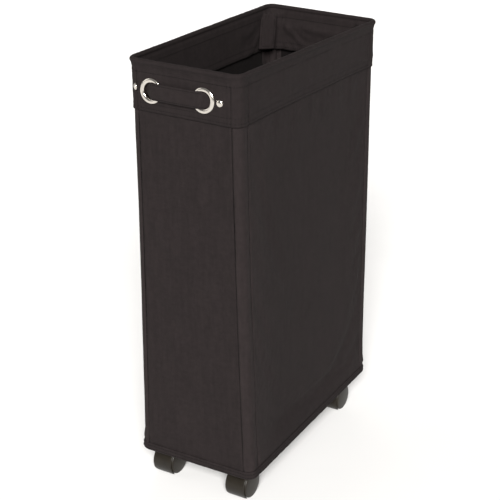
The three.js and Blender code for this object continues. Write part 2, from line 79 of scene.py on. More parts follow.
# How far the bag leans out of square at each corner (x, y, z), in millimetres.
RIM_LEAN = {
    "front_left": (1.3, 2.2, 2.0),
    "front_right": (-4.0, -2.4, 0.2),
    "back_left": (-3.0, -1.1, 1.4),
    "back_right": (2.6, -1.1, -3.8),
}
BASE_LEAN = {
    "front_left": (-5.6, -1.7, 0.0),
    "front_right": (8.2, 2.1, 0.0),
    "back_left": (-0.1, 0.0, 0.0),
    "back_right": (0.7, 2.0, 0.0),
}
POST_BOW = {"front_left": 2.0, "front_right": 2.5, "back_left": 0.0, "back_right": 0.0}

# ---------- camera ----------
EYE = (841.1 * MM, -1430.9 * MM, 1018.6 * MM)
YAW = 0.53993
PITCH = 0.40469
ROLL_ANGLE = -0.00826
LENS = 88.89

CORNERS = {
    "front_left": (-1, -1),
    "front_right": (1, -1),
    "back_left": (-1, 1),
    "back_right": (1, 1),
}

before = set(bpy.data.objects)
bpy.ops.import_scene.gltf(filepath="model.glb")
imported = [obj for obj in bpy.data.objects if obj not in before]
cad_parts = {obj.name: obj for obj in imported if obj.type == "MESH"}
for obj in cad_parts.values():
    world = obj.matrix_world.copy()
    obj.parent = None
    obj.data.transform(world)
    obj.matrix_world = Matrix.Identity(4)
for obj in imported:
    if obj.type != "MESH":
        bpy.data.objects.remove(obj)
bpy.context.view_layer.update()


# ---------- numbers and noise ----------
def smooth(a, b, x):
    t = np.clip((x - a) / (b - a), 0, 1)
    return t * t * (3 - 2 * t)


def hump(x, width):
    """1 where x is 0, falling away on both sides."""
    return np.exp(-((x / width) ** 2))


def noise(x, y, seed):
    """Smooth value noise from -1 to 1, one cell per unit."""
    x, y = np.broadcast_arrays(np.asarray(x, float), np.asarray(y, float))
    xi, yi = np.floor(x).astype(np.int64), np.floor(y).astype(np.int64)
    fx, fy = x - xi, y - yi
    fx = fx * fx * fx * (fx * (fx * 6 - 15) + 10)
    fy = fy * fy * fy * (fy * (fy * 6 - 15) + 10)
    table = np.random.default_rng(seed).uniform(-1, 1, (64, 64))

    def at(i, j):
        return table[i % 64, j % 64]

    low = at(xi, yi) * (1 - fx) + at(xi + 1, yi) * fx
    high = at(xi, yi + 1) * (1 - fx) + at(xi + 1, yi + 1) * fx
    return low * (1 - fy) + high * fy


def folds(x, y, seed, octaves=3):
    total, size = 0.0, 1.0
    for k in range(octaves):
        total = total + size * noise(x * 2**k, y * 2**k, seed + k)
        size *= 0.5
    return total


def spread(a, b, step):
    """Even samples from a to b, about a step apart."""
    return np.linspace(a, b, max(2, int(round((b - a) / step)) + 1))


def unit(vectors):
    """Same directions, one metre long."""
    return vectors / np.linalg.norm(vectors, axis=-1, keepdims=True)


def distances(points):
    """How far each point lies along its line."""
    return np.concatenate([[0], np.cumsum(np.linalg.norm(np.diff(points, axis=0), axis=1))])


# ---------- the bag's outline ----------
ARC = WALL * math.pi / 2
FRONT = 2 * CORNER_X
SIDE = 2 * CORNER_Y
LAP = 2 * FRONT + 2 * SIDE + 4 * ARC
STARTS = np.cumsum([0, FRONT, ARC, SIDE, ARC, FRONT, ARC, SIDE])
ARCS = (1, 3, 5, 7)           # which of the starts begin a corner arc
FRONT_MIDDLE = FRONT / 2
BACK_MIDDLE = STARTS[4] + FRONT / 2
RIGHT_MIDDLE = STARTS[2] + SIDE / 2
LEFT_MIDDLE = STARTS[6] + SIDE / 2


def outline(u):
    """Corner-centre point and outward direction at a distance u along the bag.
    u starts at the front's left seam and runs by the right, back and left faces."""
    u = np.mod(np.asarray(u, float), LAP)
    bx, by, nx, ny = (np.zeros_like(u) for _ in range(4))
    centres = [(-CORNER_X, -CORNER_Y), (CORNER_X, -CORNER_Y), (CORNER_X, CORNER_Y), (-CORNER_X, CORNER_Y)]
    for k, (ax, ay) in enumerate([(1, 0), (0, 1), (-1, 0), (0, -1)]):
        start, after = centres[k], centres[(k + 1) % 4]
        d = u - STARTS[2 * k]
        here = (d >= 0) & (u < STARTS[2 * k] + (SIDE if k % 2 else FRONT) + 1e-12)
        bx = np.where(here, start[0] + ax * d, bx)
        by = np.where(here, start[1] + ay * d, by)
        nx = np.where(here, ay, nx)
        ny = np.where(here, -ax, ny)
        here = (u > STARTS[2 * k + 1]) & (u < STARTS[2 * k + 1] + ARC)
        a = math.radians(90 * k - 90) + (u - STARTS[2 * k + 1]) / WALL
        bx = np.where(here, after[0], bx)
        by = np.where(here, after[1], by)
        nx = np.where(here, np.cos(a), nx)
        ny = np.where(here, np.sin(a), ny)
    return bx, by, nx, ny


def beyond(u, place):
    """Signed distance along the bag past a place, the short way round."""
    return np.mod(u - place + LAP / 2, LAP) - LAP / 2


def nearness(u, place):
    return np.abs(beyond(u, place))


def bow(u, z):
    """How far every layer of the bag stands out from its flat outline.
    The walls hang hollow between the posts, and the narrow ones swell behind the handles."""
    low = smooth(61 * MM, 108 * MM, z)
    high = 1 - 0.8 * smooth(470 * MM, 585 * MM, z)
    belly = low * high * smooth(BAG_TOP, 600 * MM, z)
    down = np.clip((BAND_FOOT - z) / (500 * MM), 0, 1)
    out = 0.0
    for middle, half, depth, reach in (
        (RIGHT_MIDDLE, SIDE / 2, 8.0, 95), (LEFT_MIDDLE, SIDE / 2, 6.5, 95),
        (FRONT_MIDDLE, FRONT / 2, 1.3, 42), (BACK_MIDDLE, FRONT / 2, 1.5, 42),
    ):
        inside = np.clip(half - nearness(u, middle) - 1 * MM, 0, None)
        share = np.clip(inside / (reach * MM * (0.75 + 0.6 * down)), 0, 1)
        out = out - depth * MM * belly * (1 - (1 - share) ** 1.8)
    for middle in (FRONT_MIDDLE, BACK_MIDDLE):
        across = np.clip(1 - (nearness(u, middle) / (FRONT / 2)) ** 2, 0, 1)
        out = out - 0.9 * MM * smooth(545 * MM, 570 * MM, z) * smooth(618 * MM, 600 * MM, z) * across
        out = out + 2.2 * MM * hump(z - 576 * MM, 21 * MM) * np.sqrt(across)
    return out


def lean(points):
    """Moves points from the square bag to the one that leans."""
    p = np.array(points, float)
    x, y, z = p[..., 0], p[..., 1], p[..., 2]
    t = np.clip((z - BAG_BOTTOM) / (BAG_TOP - BAG_BOTTOM), 0, 1)
    right = np.clip((x / (90 * MM) + 1) / 2, -0.1, 1.1)
    back = np.clip((y / (190 * MM) + 1) / 2, -0.1, 1.1)
    moved = p.copy()
    for name, (sx, sy) in CORNERS.items():
        weight = (right if sx > 0 else 1 - right) * (back if sy > 0 else 1 - back)
        for axis in range(3):
            rim, base = RIM_LEAN[name][axis] * MM, BASE_LEAN[name][axis] * MM
            moved[..., axis] += weight * (rim * t + base * (1 - t))
        inward = POST_BOW[name] * MM * 4 * t * (1 - t) * weight
        moved[..., 0] -= inward * np.clip(x / (80 * MM), -1, 1)
    return moved


def on_bag(u, z, radius, inset=0.0):
    """Points at a radius on the bag. inset moves them in from the narrow faces."""
    u, z, radius, inset = np.broadcast_arrays(u, z, radius, inset)
    bx, by, nx, ny = outline(u)
    out = radius + bow(u, z)
    x = bx + nx * out
    y = by + ny * out - np.sign(by) * inset
    return lean(np.stack([x, y, z], -1))


# ---------- mesh building ----------
def new_object(name, vertices, faces, uvs=None):
    mesh = bpy.data.meshes.new(name)
    mesh.from_pydata([tuple(v) for v in vertices], [], [tuple(int(i) for i in f) for f in faces])
    if uvs is not None:
        layer = mesh.uv_layers.new(name="UVMap")
        layer.data.foreach_set("uv", np.asarray(uvs, np.float32).ravel())
    mesh.validate()
    mesh.polygons.foreach_set("use_smooth", [True] * len(mesh.polygons))
    mesh.update()
    obj = bpy.data.objects.new(name, mesh)
    bpy.context.scene.collection.objects.link(obj)
    return obj


def ladder(points, u_at, v_at, wrap):
    """Closed body from a grid points[i, j]: each row runs out along one face and back along the other."""
    rows, size = points.shape[:2]
    vertices = points.reshape(-1, 3)
    faces, uvs = [], []
    for i in range(rows if wrap else rows - 1):
        k = (i + 1) % rows
        for j in range(size):
            m = (j + 1) % size
            faces.append((i * size + j, k * size + j, k * size + m, i * size + m))
            uvs += [(u_at[i], v_at[j]), (u_at[i + 1], v_at[j])]
            uvs += [(u_at[i + 1], v_at[j + 1]), (u_at[i], v_at[j + 1])]
    if not wrap:
        for i, flip in ((0, False), (rows - 1, True)):
            for j in range(size // 2 - 1):
                quad = (j, j + 1, size - 2 - j, size - 1 - j)
                face = tuple(i * size + q for q in quad)
                faces.append(face[::-1] if flip else face)
                uvs += [(u_at[i], v_at[j])] * 4
    return vertices, faces, uvs


def outward(vertices, faces, uvs=None):
    """Same body with its faces turned to look outward."""
    v = np.asarray(vertices, float)
    fans = [(f[0], f[k], f[k + 1]) for f in faces for k in range(1, len(f) - 1)]
    a, b, c = v[np.array(fans)].transpose(1, 0, 2)
    if np.sum(a * np.cross(b, c)) >= 0:
        return faces, uvs
    turned = [tuple(f[::-1]) for f in faces]
    if uvs is None:
        return turned, None
    result, at = [], 0
    for f in faces:
        result += uvs[at:at + len(f)][::-1]
        at += len(f)
    return turned, result


def grid_body(name, points, u_at, v_at, wrap=False):
    """Object from a grid of points, with the texture places of its columns and rows."""
    vertices, faces, uvs = ladder(points, u_at, v_at, wrap)
    faces, uvs = outward(vertices, faces, uvs)
    return new_object(name, vertices, faces, uvs)


def shell(name, outer, inner, us, vs, back=0.0):
    """Thin closed body from its outer and inner points, each [around, along].
    back is how far along the texture the inner side starts."""
    points = np.concatenate([outer, inner[:, ::-1]], axis=1)
    u_at = list(us) + [2 * us[-1] - us[-2]]
    v_at = list(vs) + [v + back for v in vs[::-1]] + [vs[0]]
    return grid_body(name, points, u_at, v_at)


def hoop(name, outer, inner, us, vs):
    """Thin closed body that runs once around the bag."""
    points = np.concatenate([outer, inner[:, ::-1]], axis=1)
    return grid_body(name, points, list(us) + [LAP], list(vs) + list(vs[::-1]) + [vs[0]], True)


def joined(name, objects):
    """One object from several, in order."""
    bpy.ops.object.select_all(action="DESELECT")
    for obj in objects:
        obj.select_set(True)
    bpy.context.view_layer.objects.active = objects[0]
    bpy.ops.object.join()
    objects[0].name = name
    return objects[0]


UPRIGHT = ((1, 0, 0), (0, 1, 0), (0, 0, 1))


def lathe(name, profile, origin, axes, steps):
    """Turns a profile of (radius, height) about the third axis, through origin."""
    a = np.linspace(0, 2 * math.pi, steps, endpoint=False)
    ax, ay, az = (np.array(v, float) for v in axes)
    vertices, faces, rings = [], [], []
    for radius, height in profile:
        if radius < 1e-7:
            vertices.append(np.array(origin) + height * az)
            rings.append([len(vertices) - 1])
            continue
        first = len(vertices)
        for t in a:
            spoke = math.cos(t) * ax + math.sin(t) * ay
            vertices.append(np.array(origin) + radius * spoke + height * az)
        rings.append(list(range(first, first + steps)))
    closed = [(rings[k], rings[k + 1]) for k in range(len(rings) - 1)]
    if len(rings[0]) > 1 and len(rings[-1]) > 1:
        closed.append((rings[-1], rings[0]))
    for low, high in closed:
        for k in range(steps):
            m = (k + 1) % steps
            if len(low) == 1:
                faces.append((low[0], high[m], high[k]))
            elif len(high) == 1:
                faces.append((low[k], low[m], high[0]))
            else:
                faces.append((low[k], low[m], high[m], high[k]))
    faces, _ = outward(vertices, faces)
    return new_object(name, vertices, faces)


def rounded(profile, size, steps=4, closed=False):
    """Rounds the corners of a profile of (radius, height) points."""
    pts = [np.array(p, float) for p in profile]
    count = len(pts)
    result = []
    for i, p in enumerate(pts):
        if not closed and i in (0, count - 1):
            result.append(tuple(p))
            continue
        before, after = pts[i - 1] - p, pts[(i + 1) % count] - p
        cut = min(size, np.linalg.norm(before) * 0.45, np.linalg.norm(after) * 0.45)
        a = p + before / np.linalg.norm(before) * cut
        b = p + after / np.linalg.norm(after) * cut
        for k in range(steps + 1):
            t = k / steps
            result.append(tuple((1 - t) ** 2 * a + 2 * t * (1 - t) * p + t * t * b))
    return result


# length, width and thickness of a stitch
STITCH = (2.8 * MM, 1.15 * MM, 0.55 * MM)
SEAM_STITCH = (2.6 * MM, 1.2 * MM, 0.55 * MM)
BINDING_STITCH = (3.0 * MM, 1.1 * MM, 0.6 * MM)
INSIDE_STITCH = (3.0 * MM, 0.9 * MM, 0.5 * MM)
STRAP_STITCH = (2.3 * MM, 0.9 * MM, 0.45 * MM)
FLAP_STITCH = (2.4 * MM, 0.7 * MM, 0.4 * MM)


def stitch_row(points, above, pitch, size, seed):
    """Thread stitches along a line, facing the points above it.
    Each is a flattened bead that dips into the cloth at both ends."""
    normals = unit(above - points)
    along = distances(points)
    rng = np.random.default_rng(seed)
    at = np.arange(pitch * 0.6, along[-1] - pitch * 0.4, pitch)
    ring = np.linspace(0, 2 * math.pi, 6, endpoint=False)
    vertices, faces = [], []
    for s in at:
        ends = []
        for d in (-0.5, 0.5):
            ends.append([np.interp(s + d * size[0], along, points[:, k]) for k in range(3)])
        n = np.array([np.interp(s, along, normals[:, k]) for k in range(3)])
        a, b = np.array(ends[0]), np.array(ends[1])
        t = (b - a) / max(np.linalg.norm(b - a), 1e-9)
        side = np.cross(n, t)
        side /= max(np.linalg.norm(side), 1e-9)
        side = side + t * rng.uniform(-0.06, 0.06)
        up = np.cross(t, side)
        if np.dot(up, n) < 0:
            up = -up
        middle, half = (a + b) / 2, size[0] / 2
        first = len(vertices)
        for f in (-0.98, -0.72, 0.0, 0.72, 0.98):
            w = math.sqrt(1 - f * f) * 0.8 + 0.1
            lift = size[2] * (0.45 - 0.5 * f * f)
            for q in ring:
                vertices.append(
                    middle + t * f * half + side * math.cos(q) * size[1] / 2 * w
                    + up * (math.sin(q) * size[2] / 2 * w + lift)
                )
        for r in range(4):
            for q in range(6):
                m = (q + 1) % 6
                low, high = first + r * 6, first + r * 6 + 6
                faces.append((low + q, low + m, high + m, high + q))
        faces.append(tuple(first + q for q in reversed(range(6))))
        faces.append(tuple(first + 24 + q for q in range(6)))
    return vertices, faces


def thread(name, rows):
    """One object from several stitch rows."""
    vertices, faces = [], []
    for row_vertices, row_faces in rows:
        first = len(vertices)
        vertices += row_vertices
        faces += [tuple(i + first for i in f) for f in row_faces]
    obj = new_object(name, vertices, faces)
    obj.data.materials.append(THREAD_AND_HOLE_SHADE)
    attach(obj, "bin")
    return obj


# ---------- materials ----------
class Nodes:
    def __init__(self, name):
        self.material = bpy.data.materials.new(name)
        self.material.use_nodes = True
        self.tree = self.material.node_tree
        self.shader = self.tree.nodes["Principled BSDF"]

    def node(self, kind, **values):
        made = self.tree.nodes.new(kind)
        for key, value in values.items():
            setattr(made, key, value)
        return made

    def link(self, a, b):
        self.tree.links.new(a, b)

    def value(self, socket, value):
        if isinstance(value, bpy.types.NodeSocket):
            self.link(value, socket)
        else:
            socket.default_value = value

    def math(self, operation, a, b=0.0, c=0.0):
        made = self.node("ShaderNodeMath", operation=operation)
        for k, value in enumerate((a, b, c)):
            self.value(made.inputs[k], value)
        return made.outputs[0]

    def noise(self, vector, scale, detail=3.0, rough=0.55):
        made = self.node("ShaderNodeTexNoise")
        self.link(vector, made.inputs["Vector"])
        made.inputs["Scale"].default_value = scale
        made.inputs["Detail"].default_value = detail
        made.inputs["Roughness"].default_value = rough
        return made.outputs["Fac"]

    def stretched(self, vector, sizes):
        made = self.node("ShaderNodeMapping")
        self.link(vector, made.inputs["Vector"])
        made.inputs["Scale"].default_value = sizes
        return made.outputs["Vector"]

    def ramp(self, fac, low, high, start=0.3, end=0.7):
        made = self.node("ShaderNodeValToRGB")
        self.link(fac, made.inputs["Fac"])
        made.color_ramp.elements[0].position = start
        made.color_ramp.elements[0].color = (*low, 1)
        made.color_ramp.elements[1].position = end
        made.color_ramp.elements[1].color = (*high, 1)
        return made.outputs["Color"]

    def mix(self, fac, a, b, blend="MIX"):
        made = self.node("ShaderNodeMix", data_type="RGBA", blend_type=blend)
        self.value(made.inputs[0], fac)
        for socket, value in ((made.inputs[6], a), (made.inputs[7], b)):
            if isinstance(value, tuple) and len(value) == 3:
                value = (*value, 1)
            self.value(socket, value)
        return made.outputs[2]

    def bump(self, height, strength, distance, below=None):
        made = self.node("ShaderNodeBump")
        made.inputs["Strength"].default_value = strength
        made.inputs["Distance"].default_value = distance
        self.link(height, made.inputs["Height"])
        if below is not None:
            self.link(below, made.inputs["Normal"])
        return made.outputs["Normal"]


PAINTED_HIGHLIGHT_TONE = 1.3                  # painted highlight: how pale the cloth is made beside the front corners
INSIDE_SHADE_TONE = 0.35                # painted shade: the tone of the cloth's inner side, inside the bag
INNER_SIDE_FROM = 2.0             # where the inner side's texture starts; the painted shade covers the part past its half


def fabric(name, colour, pitch=0.6 * MM, mottle=0.34, highlight_at=None):
    """Plain-woven polyester: over-and-under threads, slubs, mottling and a little lint,
    with painted shade between the threads and on its inner side. Its last argument is the place along the
    bag beside which a painted highlight makes it paler."""
    n = Nodes(name)
    uv = n.node("ShaderNodeUVMap").outputs["UV"]
    parts = n.node("ShaderNodeSeparateXYZ")
    n.link(uv, parts.inputs[0])
    turn = math.pi / pitch
    warp = n.math("SINE", n.math("MULTIPLY", parts.outputs[0], turn))
    weft = n.math("SINE", n.math("MULTIPLY", parts.outputs[1], turn))
    over = n.math("GREATER_THAN", n.math("MULTIPLY", warp, weft), 0.0)
    warp_height = n.math("ABSOLUTE", warp)
    weft_height = n.math("ABSOLUTE", weft)
    weave = n.math("ADD", n.math("MULTIPLY", warp_height, over),
                   n.math("MULTIPLY", weft_height, n.math("SUBTRACT", 1.0, over)))
    slub_warp = n.noise(n.stretched(uv, (1500, 40, 1)), 1.0, 2.0)
    slub_weft = n.noise(n.stretched(uv, (40, 1500, 1)), 1.0, 2.0)
    slubs = n.math("ADD", n.math("MULTIPLY", slub_warp, 0.5), n.math("MULTIPLY", slub_weft, 0.5))
    patches = n.noise(uv, 22.0, 4.0)
    fine = n.noise(uv, 240.0, 3.0)
    dark = tuple(c * (1 - mottle) for c in colour)
    light = tuple(c * (1 + mottle) for c in colour)
    base = n.ramp(patches, dark, light, 0.3, 0.7)
    base = n.mix(0.55, base, n.ramp(slubs, dark, light, 0.38, 0.62))
    base = n.mix(0.3, base, n.ramp(fine, dark, light, 0.3, 0.7))
    clouds = n.noise(uv, 110.0, 2.0)
    drawn = n.noise(n.stretched(uv, (170, 14, 1)), 1.0, 3.0)
    uneven = n.mix(0.5, n.ramp(clouds, dark, light, 0.35, 0.65), n.ramp(drawn, dark, light, 0.35, 0.65))
    base = n.mix(0.4, base, uneven)
    # Painted shade: the cloth is made darker where the weave is low, between the threads, and a little paler
    # on their tops.
    weave_gap_shade = n.ramp(weave, (0.72, 0.72, 0.72), (1.1, 1.1, 1.1), 0.15, 0.8)
    base = n.mix(1.0, base, weave_gap_shade, "MULTIPLY")
    # Painted highlight: the cloth is made up to 1.3 times paler beside the given place along the bag, for
    # the light that catches the wall there.
    if highlight_at is not None:
        away = n.math("ABSOLUTE", n.math("SUBTRACT", parts.outputs[0], float(highlight_at)))
        ragged = n.math("ADD", away, n.math("MULTIPLY", patches, 30 * MM))
        painted_highlight = n.ramp(ragged, (PAINTED_HIGHLIGHT_TONE, PAINTED_HIGHLIGHT_TONE, PAINTED_HIGHLIGHT_TONE), (1, 1, 1), 18 * MM, 95 * MM)
        base = n.mix(1.0, base, painted_highlight, "MULTIPLY")
    # Painted shade: the inner side of the walls and sleeves is made darker to stand for the shade inside the
    # bag.
    inside_shade_mask = n.math("GREATER_THAN", parts.outputs[1], INNER_SIDE_FROM / 2)
    base = n.mix(inside_shade_mask, base, n.mix(1.0, base, (INSIDE_SHADE_TONE, INSIDE_SHADE_TONE, INSIDE_SHADE_TONE), "MULTIPLY"))
    lint = n.ramp(n.noise(uv, 900.0, 1.0), (0, 0, 0), (1, 1, 1), 0.76, 0.82)
    base = n.mix(n.math("MULTIPLY", lint, 0.25), base, tuple(min(1, c * 4) for c in colour))
    n.link(base, n.shader.inputs["Base Color"])
    n.link(n.math("ADD", n.math("MULTIPLY", patches, 0.12), 0.84), n.shader.inputs["Roughness"])
    n.shader.inputs["Sheen Weight"].default_value = 0.01
    n.shader.inputs["Sheen Roughness"].default_value = 0.45
    n.shader.inputs["Sheen Tint"].default_value = (0.9, 0.84, 0.8, 1)
    n.shader.inputs["IOR"].default_value = 1.2
    rumple = n.bump(n.noise(uv, 60.0, 3.0), 0.35, 0.6 * MM)
    threads = n.bump(weave, 0.5, 0.12 * MM, rumple)
    n.link(n.bump(slubs, 0.3, 0.15 * MM, threads), n.shader.inputs["Normal"])
    return n.material


def solid(name, colour, roughness, metallic=0.0, wear=0.15, scale=60.0, scratches=0.1, shine=0.5):
    """Moulded plastic or metal: patchy roughness, fine scratches and a slightly uneven skin."""
    n = Nodes(name)
    place = n.node("ShaderNodeTexCoord").outputs["Object"]
    patches = n.noise(place, scale, 4.0)
    dark = tuple(c * (1 - wear) for c in colour)
    light = tuple(min(1, c * (1 + wear)) for c in colour)
    scored = n.noise(n.stretched(place, (900, 900, 60)), 1.0, 2.0)
    base = n.ramp(patches, dark, light)
    base = n.mix(0.25, base, n.ramp(scored, dark, light, 0.4, 0.6))
    n.link(base, n.shader.inputs["Base Color"])
    rough = n.math("ADD", n.math("MULTIPLY", patches, 0.16), roughness - 0.08)
    n.link(rough, n.shader.inputs["Roughness"])
    n.shader.inputs["Metallic"].default_value = metallic
    n.shader.inputs["Specular IOR Level"].default_value = shine
    skin = n.bump(n.noise(place, 700.0, 2.0), scratches, 0.05 * MM)
    n.link(n.bump(scored, scratches, 0.03 * MM, skin), n.shader.inputs["Normal"])
    return n.material


def board_material():
    n = Nodes("chipboard")
    place = n.node("ShaderNodeTexCoord").outputs["Object"]
    chips = n.noise(n.stretched(place, (260, 140, 600)), 1.0, 4.0)
    n.link(n.ramp(chips, (0.18, 0.11, 0.06), (0.42, 0.3, 0.19)), n.shader.inputs["Base Color"])
    n.shader.inputs["Roughness"].default_value = 0.85
    n.link(n.bump(chips, 0.4, 0.2 * MM), n.shader.inputs["Normal"])
    return n.material


# colours are linear
BROWN_BLACK = (0.0154, 0.0119, 0.0121)
FABRIC = fabric("woven_polyester", BROWN_BLACK)
# Painted highlight: the corner sleeves' cloth is made 1.25 times paler, for the light that catches the
# rounded corners.
SLEEVE_HIGHLIGHT_FABRIC = fabric("sleeve_polyester_painted_highlight", tuple(1.25 * c for c in BROWN_BLACK))
# The long walls carry a painted highlight beside their front corners.
SIDE_FABRIC = {
    "right": fabric("right_polyester_painted_highlight", BROWN_BLACK, highlight_at=STARTS[2]),
    "left": fabric("left_polyester_painted_highlight", BROWN_BLACK, highlight_at=STARTS[7]),
}
TRIM = fabric("trim_polyester", (0.0160, 0.0124, 0.0126), 0.8 * MM)
FLOOR_FABRIC = fabric("floor_polyester", (0.012, 0.010, 0.010), 0.7 * MM, 0.3)
# The thread is darkened past its own dark colour: partly painted shade, standing for the shadowed needle
# holes along the stitch rows.
THREAD_AND_HOLE_SHADE = solid("thread", (0.0042, 0.0035, 0.0035), 0.7, wear=0.3, scale=300.0, scratches=0.4, shine=0.1)
CHROME = solid("chrome", (0.70, 0.655, 0.60), 0.17, 1.0, wear=0.06, scale=200.0, scratches=0.08)
STEEL = solid("plated_steel", (0.5, 0.5, 0.5), 0.36, 1.0, wear=0.1, scale=80.0, scratches=0.2)
MOULDED = {"wear": 0.3, "shine": 0.3}
PLASTIC = solid("caster_plastic", (0.0092, 0.0068, 0.0038), 0.40, scale=70.0, scratches=0.25, **MOULDED)
WHEEL_PLASTIC = solid("wheel_plastic", (0.0105, 0.0078, 0.0043), 0.42, scale=90.0, scratches=0.3, **MOULDED)
BOARD = board_material()


def piece(obj, material, body="bin", nodes=()):
    """Gives an object its material, its body and the CAD nodes that it stands for."""
    obj.data.materials.clear()
    obj.data.materials.append(material)
    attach(obj, body)
    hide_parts(*nodes)


# ---------- walls ----------
def wall_ripple(u, z, seed, size=1.0):
    """Soft standing folds in a wall, still at the binding and under the band."""
    free = smooth(58 * MM, 100 * MM, z) * smooth(566 * MM, 520 * MM, z)
    streaks = folds(u / (34 * MM), z / (300 * MM), seed, 2)
    broad = folds(u / (90 * MM), z / (170 * MM), seed + 7, 2)
    creases = folds(u / (12 * MM) + z / (60 * MM), z / (55 * MM), seed + 13, 3)
    return size * MM * free * (0.14 * streaks + 0.8 * broad + 0.06 * creases)


def seam_pucker(u, z, seam, seed):
    """Small gathers beside a seam, and a groove along it."""
    away = nearness(u, seam)
    gathers = 0.45 * MM * noise(z / (5.5 * MM), u / (14 * MM), seed) * np.exp(-away / (5 * MM))
    groove = -0.9 * MM * hump(away, 1.2 * MM)
    ridge = 0.45 * MM * hump(away - 3 * MM, 1.5 * MM)
    return gathers + groove + ridge


def base_pinch(u, z):
    """Creases that fan up from the bottom corners, where the walls are gathered into the binding."""
    total = 0.0
    for k in ARCS:
        du = beyond(u, STARTS[k] + ARC * 0.75)
        dz = z - 52 * MM
        angle = np.arctan2(du, dz + 4 * MM)
        far = np.hypot(du, dz)
        wave = np.sin(angle * 9 + 1.5 * noise(far / (12 * MM), angle * 1.5, 261 + k))
        total = total + 1.6 * MM * (wave + 0.6) * hump(far, 28 * MM)
    return total * smooth(56 * MM, 64 * MM, z)


WALL_STEP = 3.6 * MM          # size of the mesh's squares
SEAM_GAP = 0.15 * MM
SEAMS = {
    "front": (0.0, FRONT),
    "right": (STARTS[2] + SIDE_SEAM, STARTS[4] - ARC - SIDE_SEAM),
    "back": (STARTS[4], STARTS[4] + FRONT),
    "left": (STARTS[6] + SIDE_SEAM, LAP - ARC - SIDE_SEAM),
}
ALL_SEAMS = sorted({round(float(np.mod(s, LAP)), 7) for pair in SEAMS.values() for s in pair})


def edge_weighted(a, b, step, fine=1.2 * MM, reach=9 * MM):
    """Samples from a to b, closer together near both ends."""
    return np.concatenate([
        spread(a, a + reach, fine), spread(a + reach, b - reach, step)[1:-1], spread(b - reach, b, fine)
    ])


def hung_slack(side, seed):
    """Cloth simulation of one wall, sewn on all four sides and cut a little larger than its opening.
    Gives how far it moves in or out, over a coarse grid."""
    a, b = SEAMS[side]
    us, zs = spread(a, b, 8 * MM), spread(WALL_FOOT, WALL_TOP, 9 * MM)
    u, z = np.meshgrid(us, zs, indexing="ij")
    start = on_bag(u, z, WALL + 0.3 * MM * folds(u / (50 * MM), z / (90 * MM), seed, 2))
    rows, size = start.shape[:2]
    faces = []
    for i in range(rows - 1):
        for j in range(size - 1):
            faces.append((i * size + j, (i + 1) * size + j, (i + 1) * size + j + 1, i * size + j + 1))
    cloth = new_object(f"slack_{side}", start.reshape(-1, 3), faces)
    sewn = cloth.vertex_groups.new(name="sewn")
    border = [i * size + j for i in range(rows) for j in range(size)
              if i in (0, rows - 1) or j in (0, size - 1) or zs[j] > BAND_FOOT]
    sewn.add(border, 1.0, "REPLACE")
    settings = cloth.modifiers.new("cloth", "CLOTH").settings
    settings.vertex_group_mass = "sewn"
    settings.quality = 6
    settings.mass = 0.06
    settings.shrink_min = -0.0025
    settings.tension_stiffness = 20
    settings.compression_stiffness = 20
    settings.shear_stiffness = 8
    settings.bending_stiffness = 0.4
    settings.air_damping = 4
    scene = bpy.context.scene
    for number in range(1, 46):
        scene.frame_set(number)
    shaped = cloth.evaluated_get(bpy.context.evaluated_depsgraph_get())
    end = np.array([v.co for v in shaped.data.vertices]).reshape(rows, size, 3)
    scene.frame_set(1)
    bpy.data.objects.remove(cloth, do_unlink=True)
    normal = unit(on_bag(u, z, WALL + 1 * MM) - on_bag(u, z, WALL))
    moved = np.clip(((end - start) * normal).sum(2), -3 * MM, 3 * MM)
    return us, zs, moved * smooth(60 * MM, 95 * MM, z)


def quiet(z):
    """1 below the band, falling to 0 under it, where the wall lies flat."""
    return smooth(600 * MM, 566 * MM, z)


def tucked(z):
    """How far a wall lies in under the band."""
    return 0.5 * MM * smooth(BAND_FOOT, 566 * MM, z)


def at_grid(grid, u, z):
    """Smoothly reads a coarse grid of values at finer places."""
    us, zs, values = grid
    fu = np.clip((u - us[0]) / (us[1] - us[0]), 0, len(us) - 1.001)
    fz = np.clip((z - zs[0]) / (zs[1] - zs[0]), 0, len(zs) - 1.001)
    i, j = fu.astype(int), fz.astype(int)
    tu, tz = fu - i, fz - j
    tu, tz = tu * tu * (3 - 2 * tu), tz * tz * (3 - 2 * tz)
    low = values[i, j] * (1 - tu) + values[i + 1, j] * tu
    high = values[i, j + 1] * (1 - tu) + values[i + 1, j + 1] * tu
    return low * (1 - tz) + high * tz


def wall_panel(name, side, seed):
    a, b = SEAMS[side]
    us = edge_weighted(a + SEAM_GAP, b - SEAM_GAP, WALL_STEP)
    zs = spread(WALL_FOOT, WALL_TOP, WALL_STEP)
    u, z = np.meshgrid(us, zs, indexing="ij")
    size = 1.0 if side in ("front", "back") else 0.9
    out = wall_ripple(u, z, seed, size) + seam_pucker(u, z, a, seed + 20) + seam_pucker(u, z, b, seed + 21)
    out = out + base_pinch(u, z)
    out = out * quiet(z) - tucked(z)
    out = out + at_grid(hung_slack(side, seed), u, z)
    outer = on_bag(u, z, WALL + out)
    inner = on_bag(u, z, WALL - CLOTH + out)
    obj = shell(name, outer, inner, us, zs, INNER_SIDE_FROM)
    piece(obj, SIDE_FABRIC.get(side, FABRIC), nodes=[name])
    return obj


panels = {}
for side, seed in (("front", 11), ("right", 31), ("back", 51), ("left", 71)):
    panels[side] = wall_panel(f"{side}_panel", side, seed)


# ---------- corner sleeves ----------
SEAM_PAIRS = {
    "front_right": (FRONT, STARTS[2] + SIDE_SEAM),
    "back_right": (STARTS[4] - ARC - SIDE_SEAM, STARTS[4]),
    "back_left": (STARTS[4] + FRONT, STARTS[6] + SIDE_SEAM),
    "front_left": (LAP - ARC - SIDE_SEAM, LAP),
}


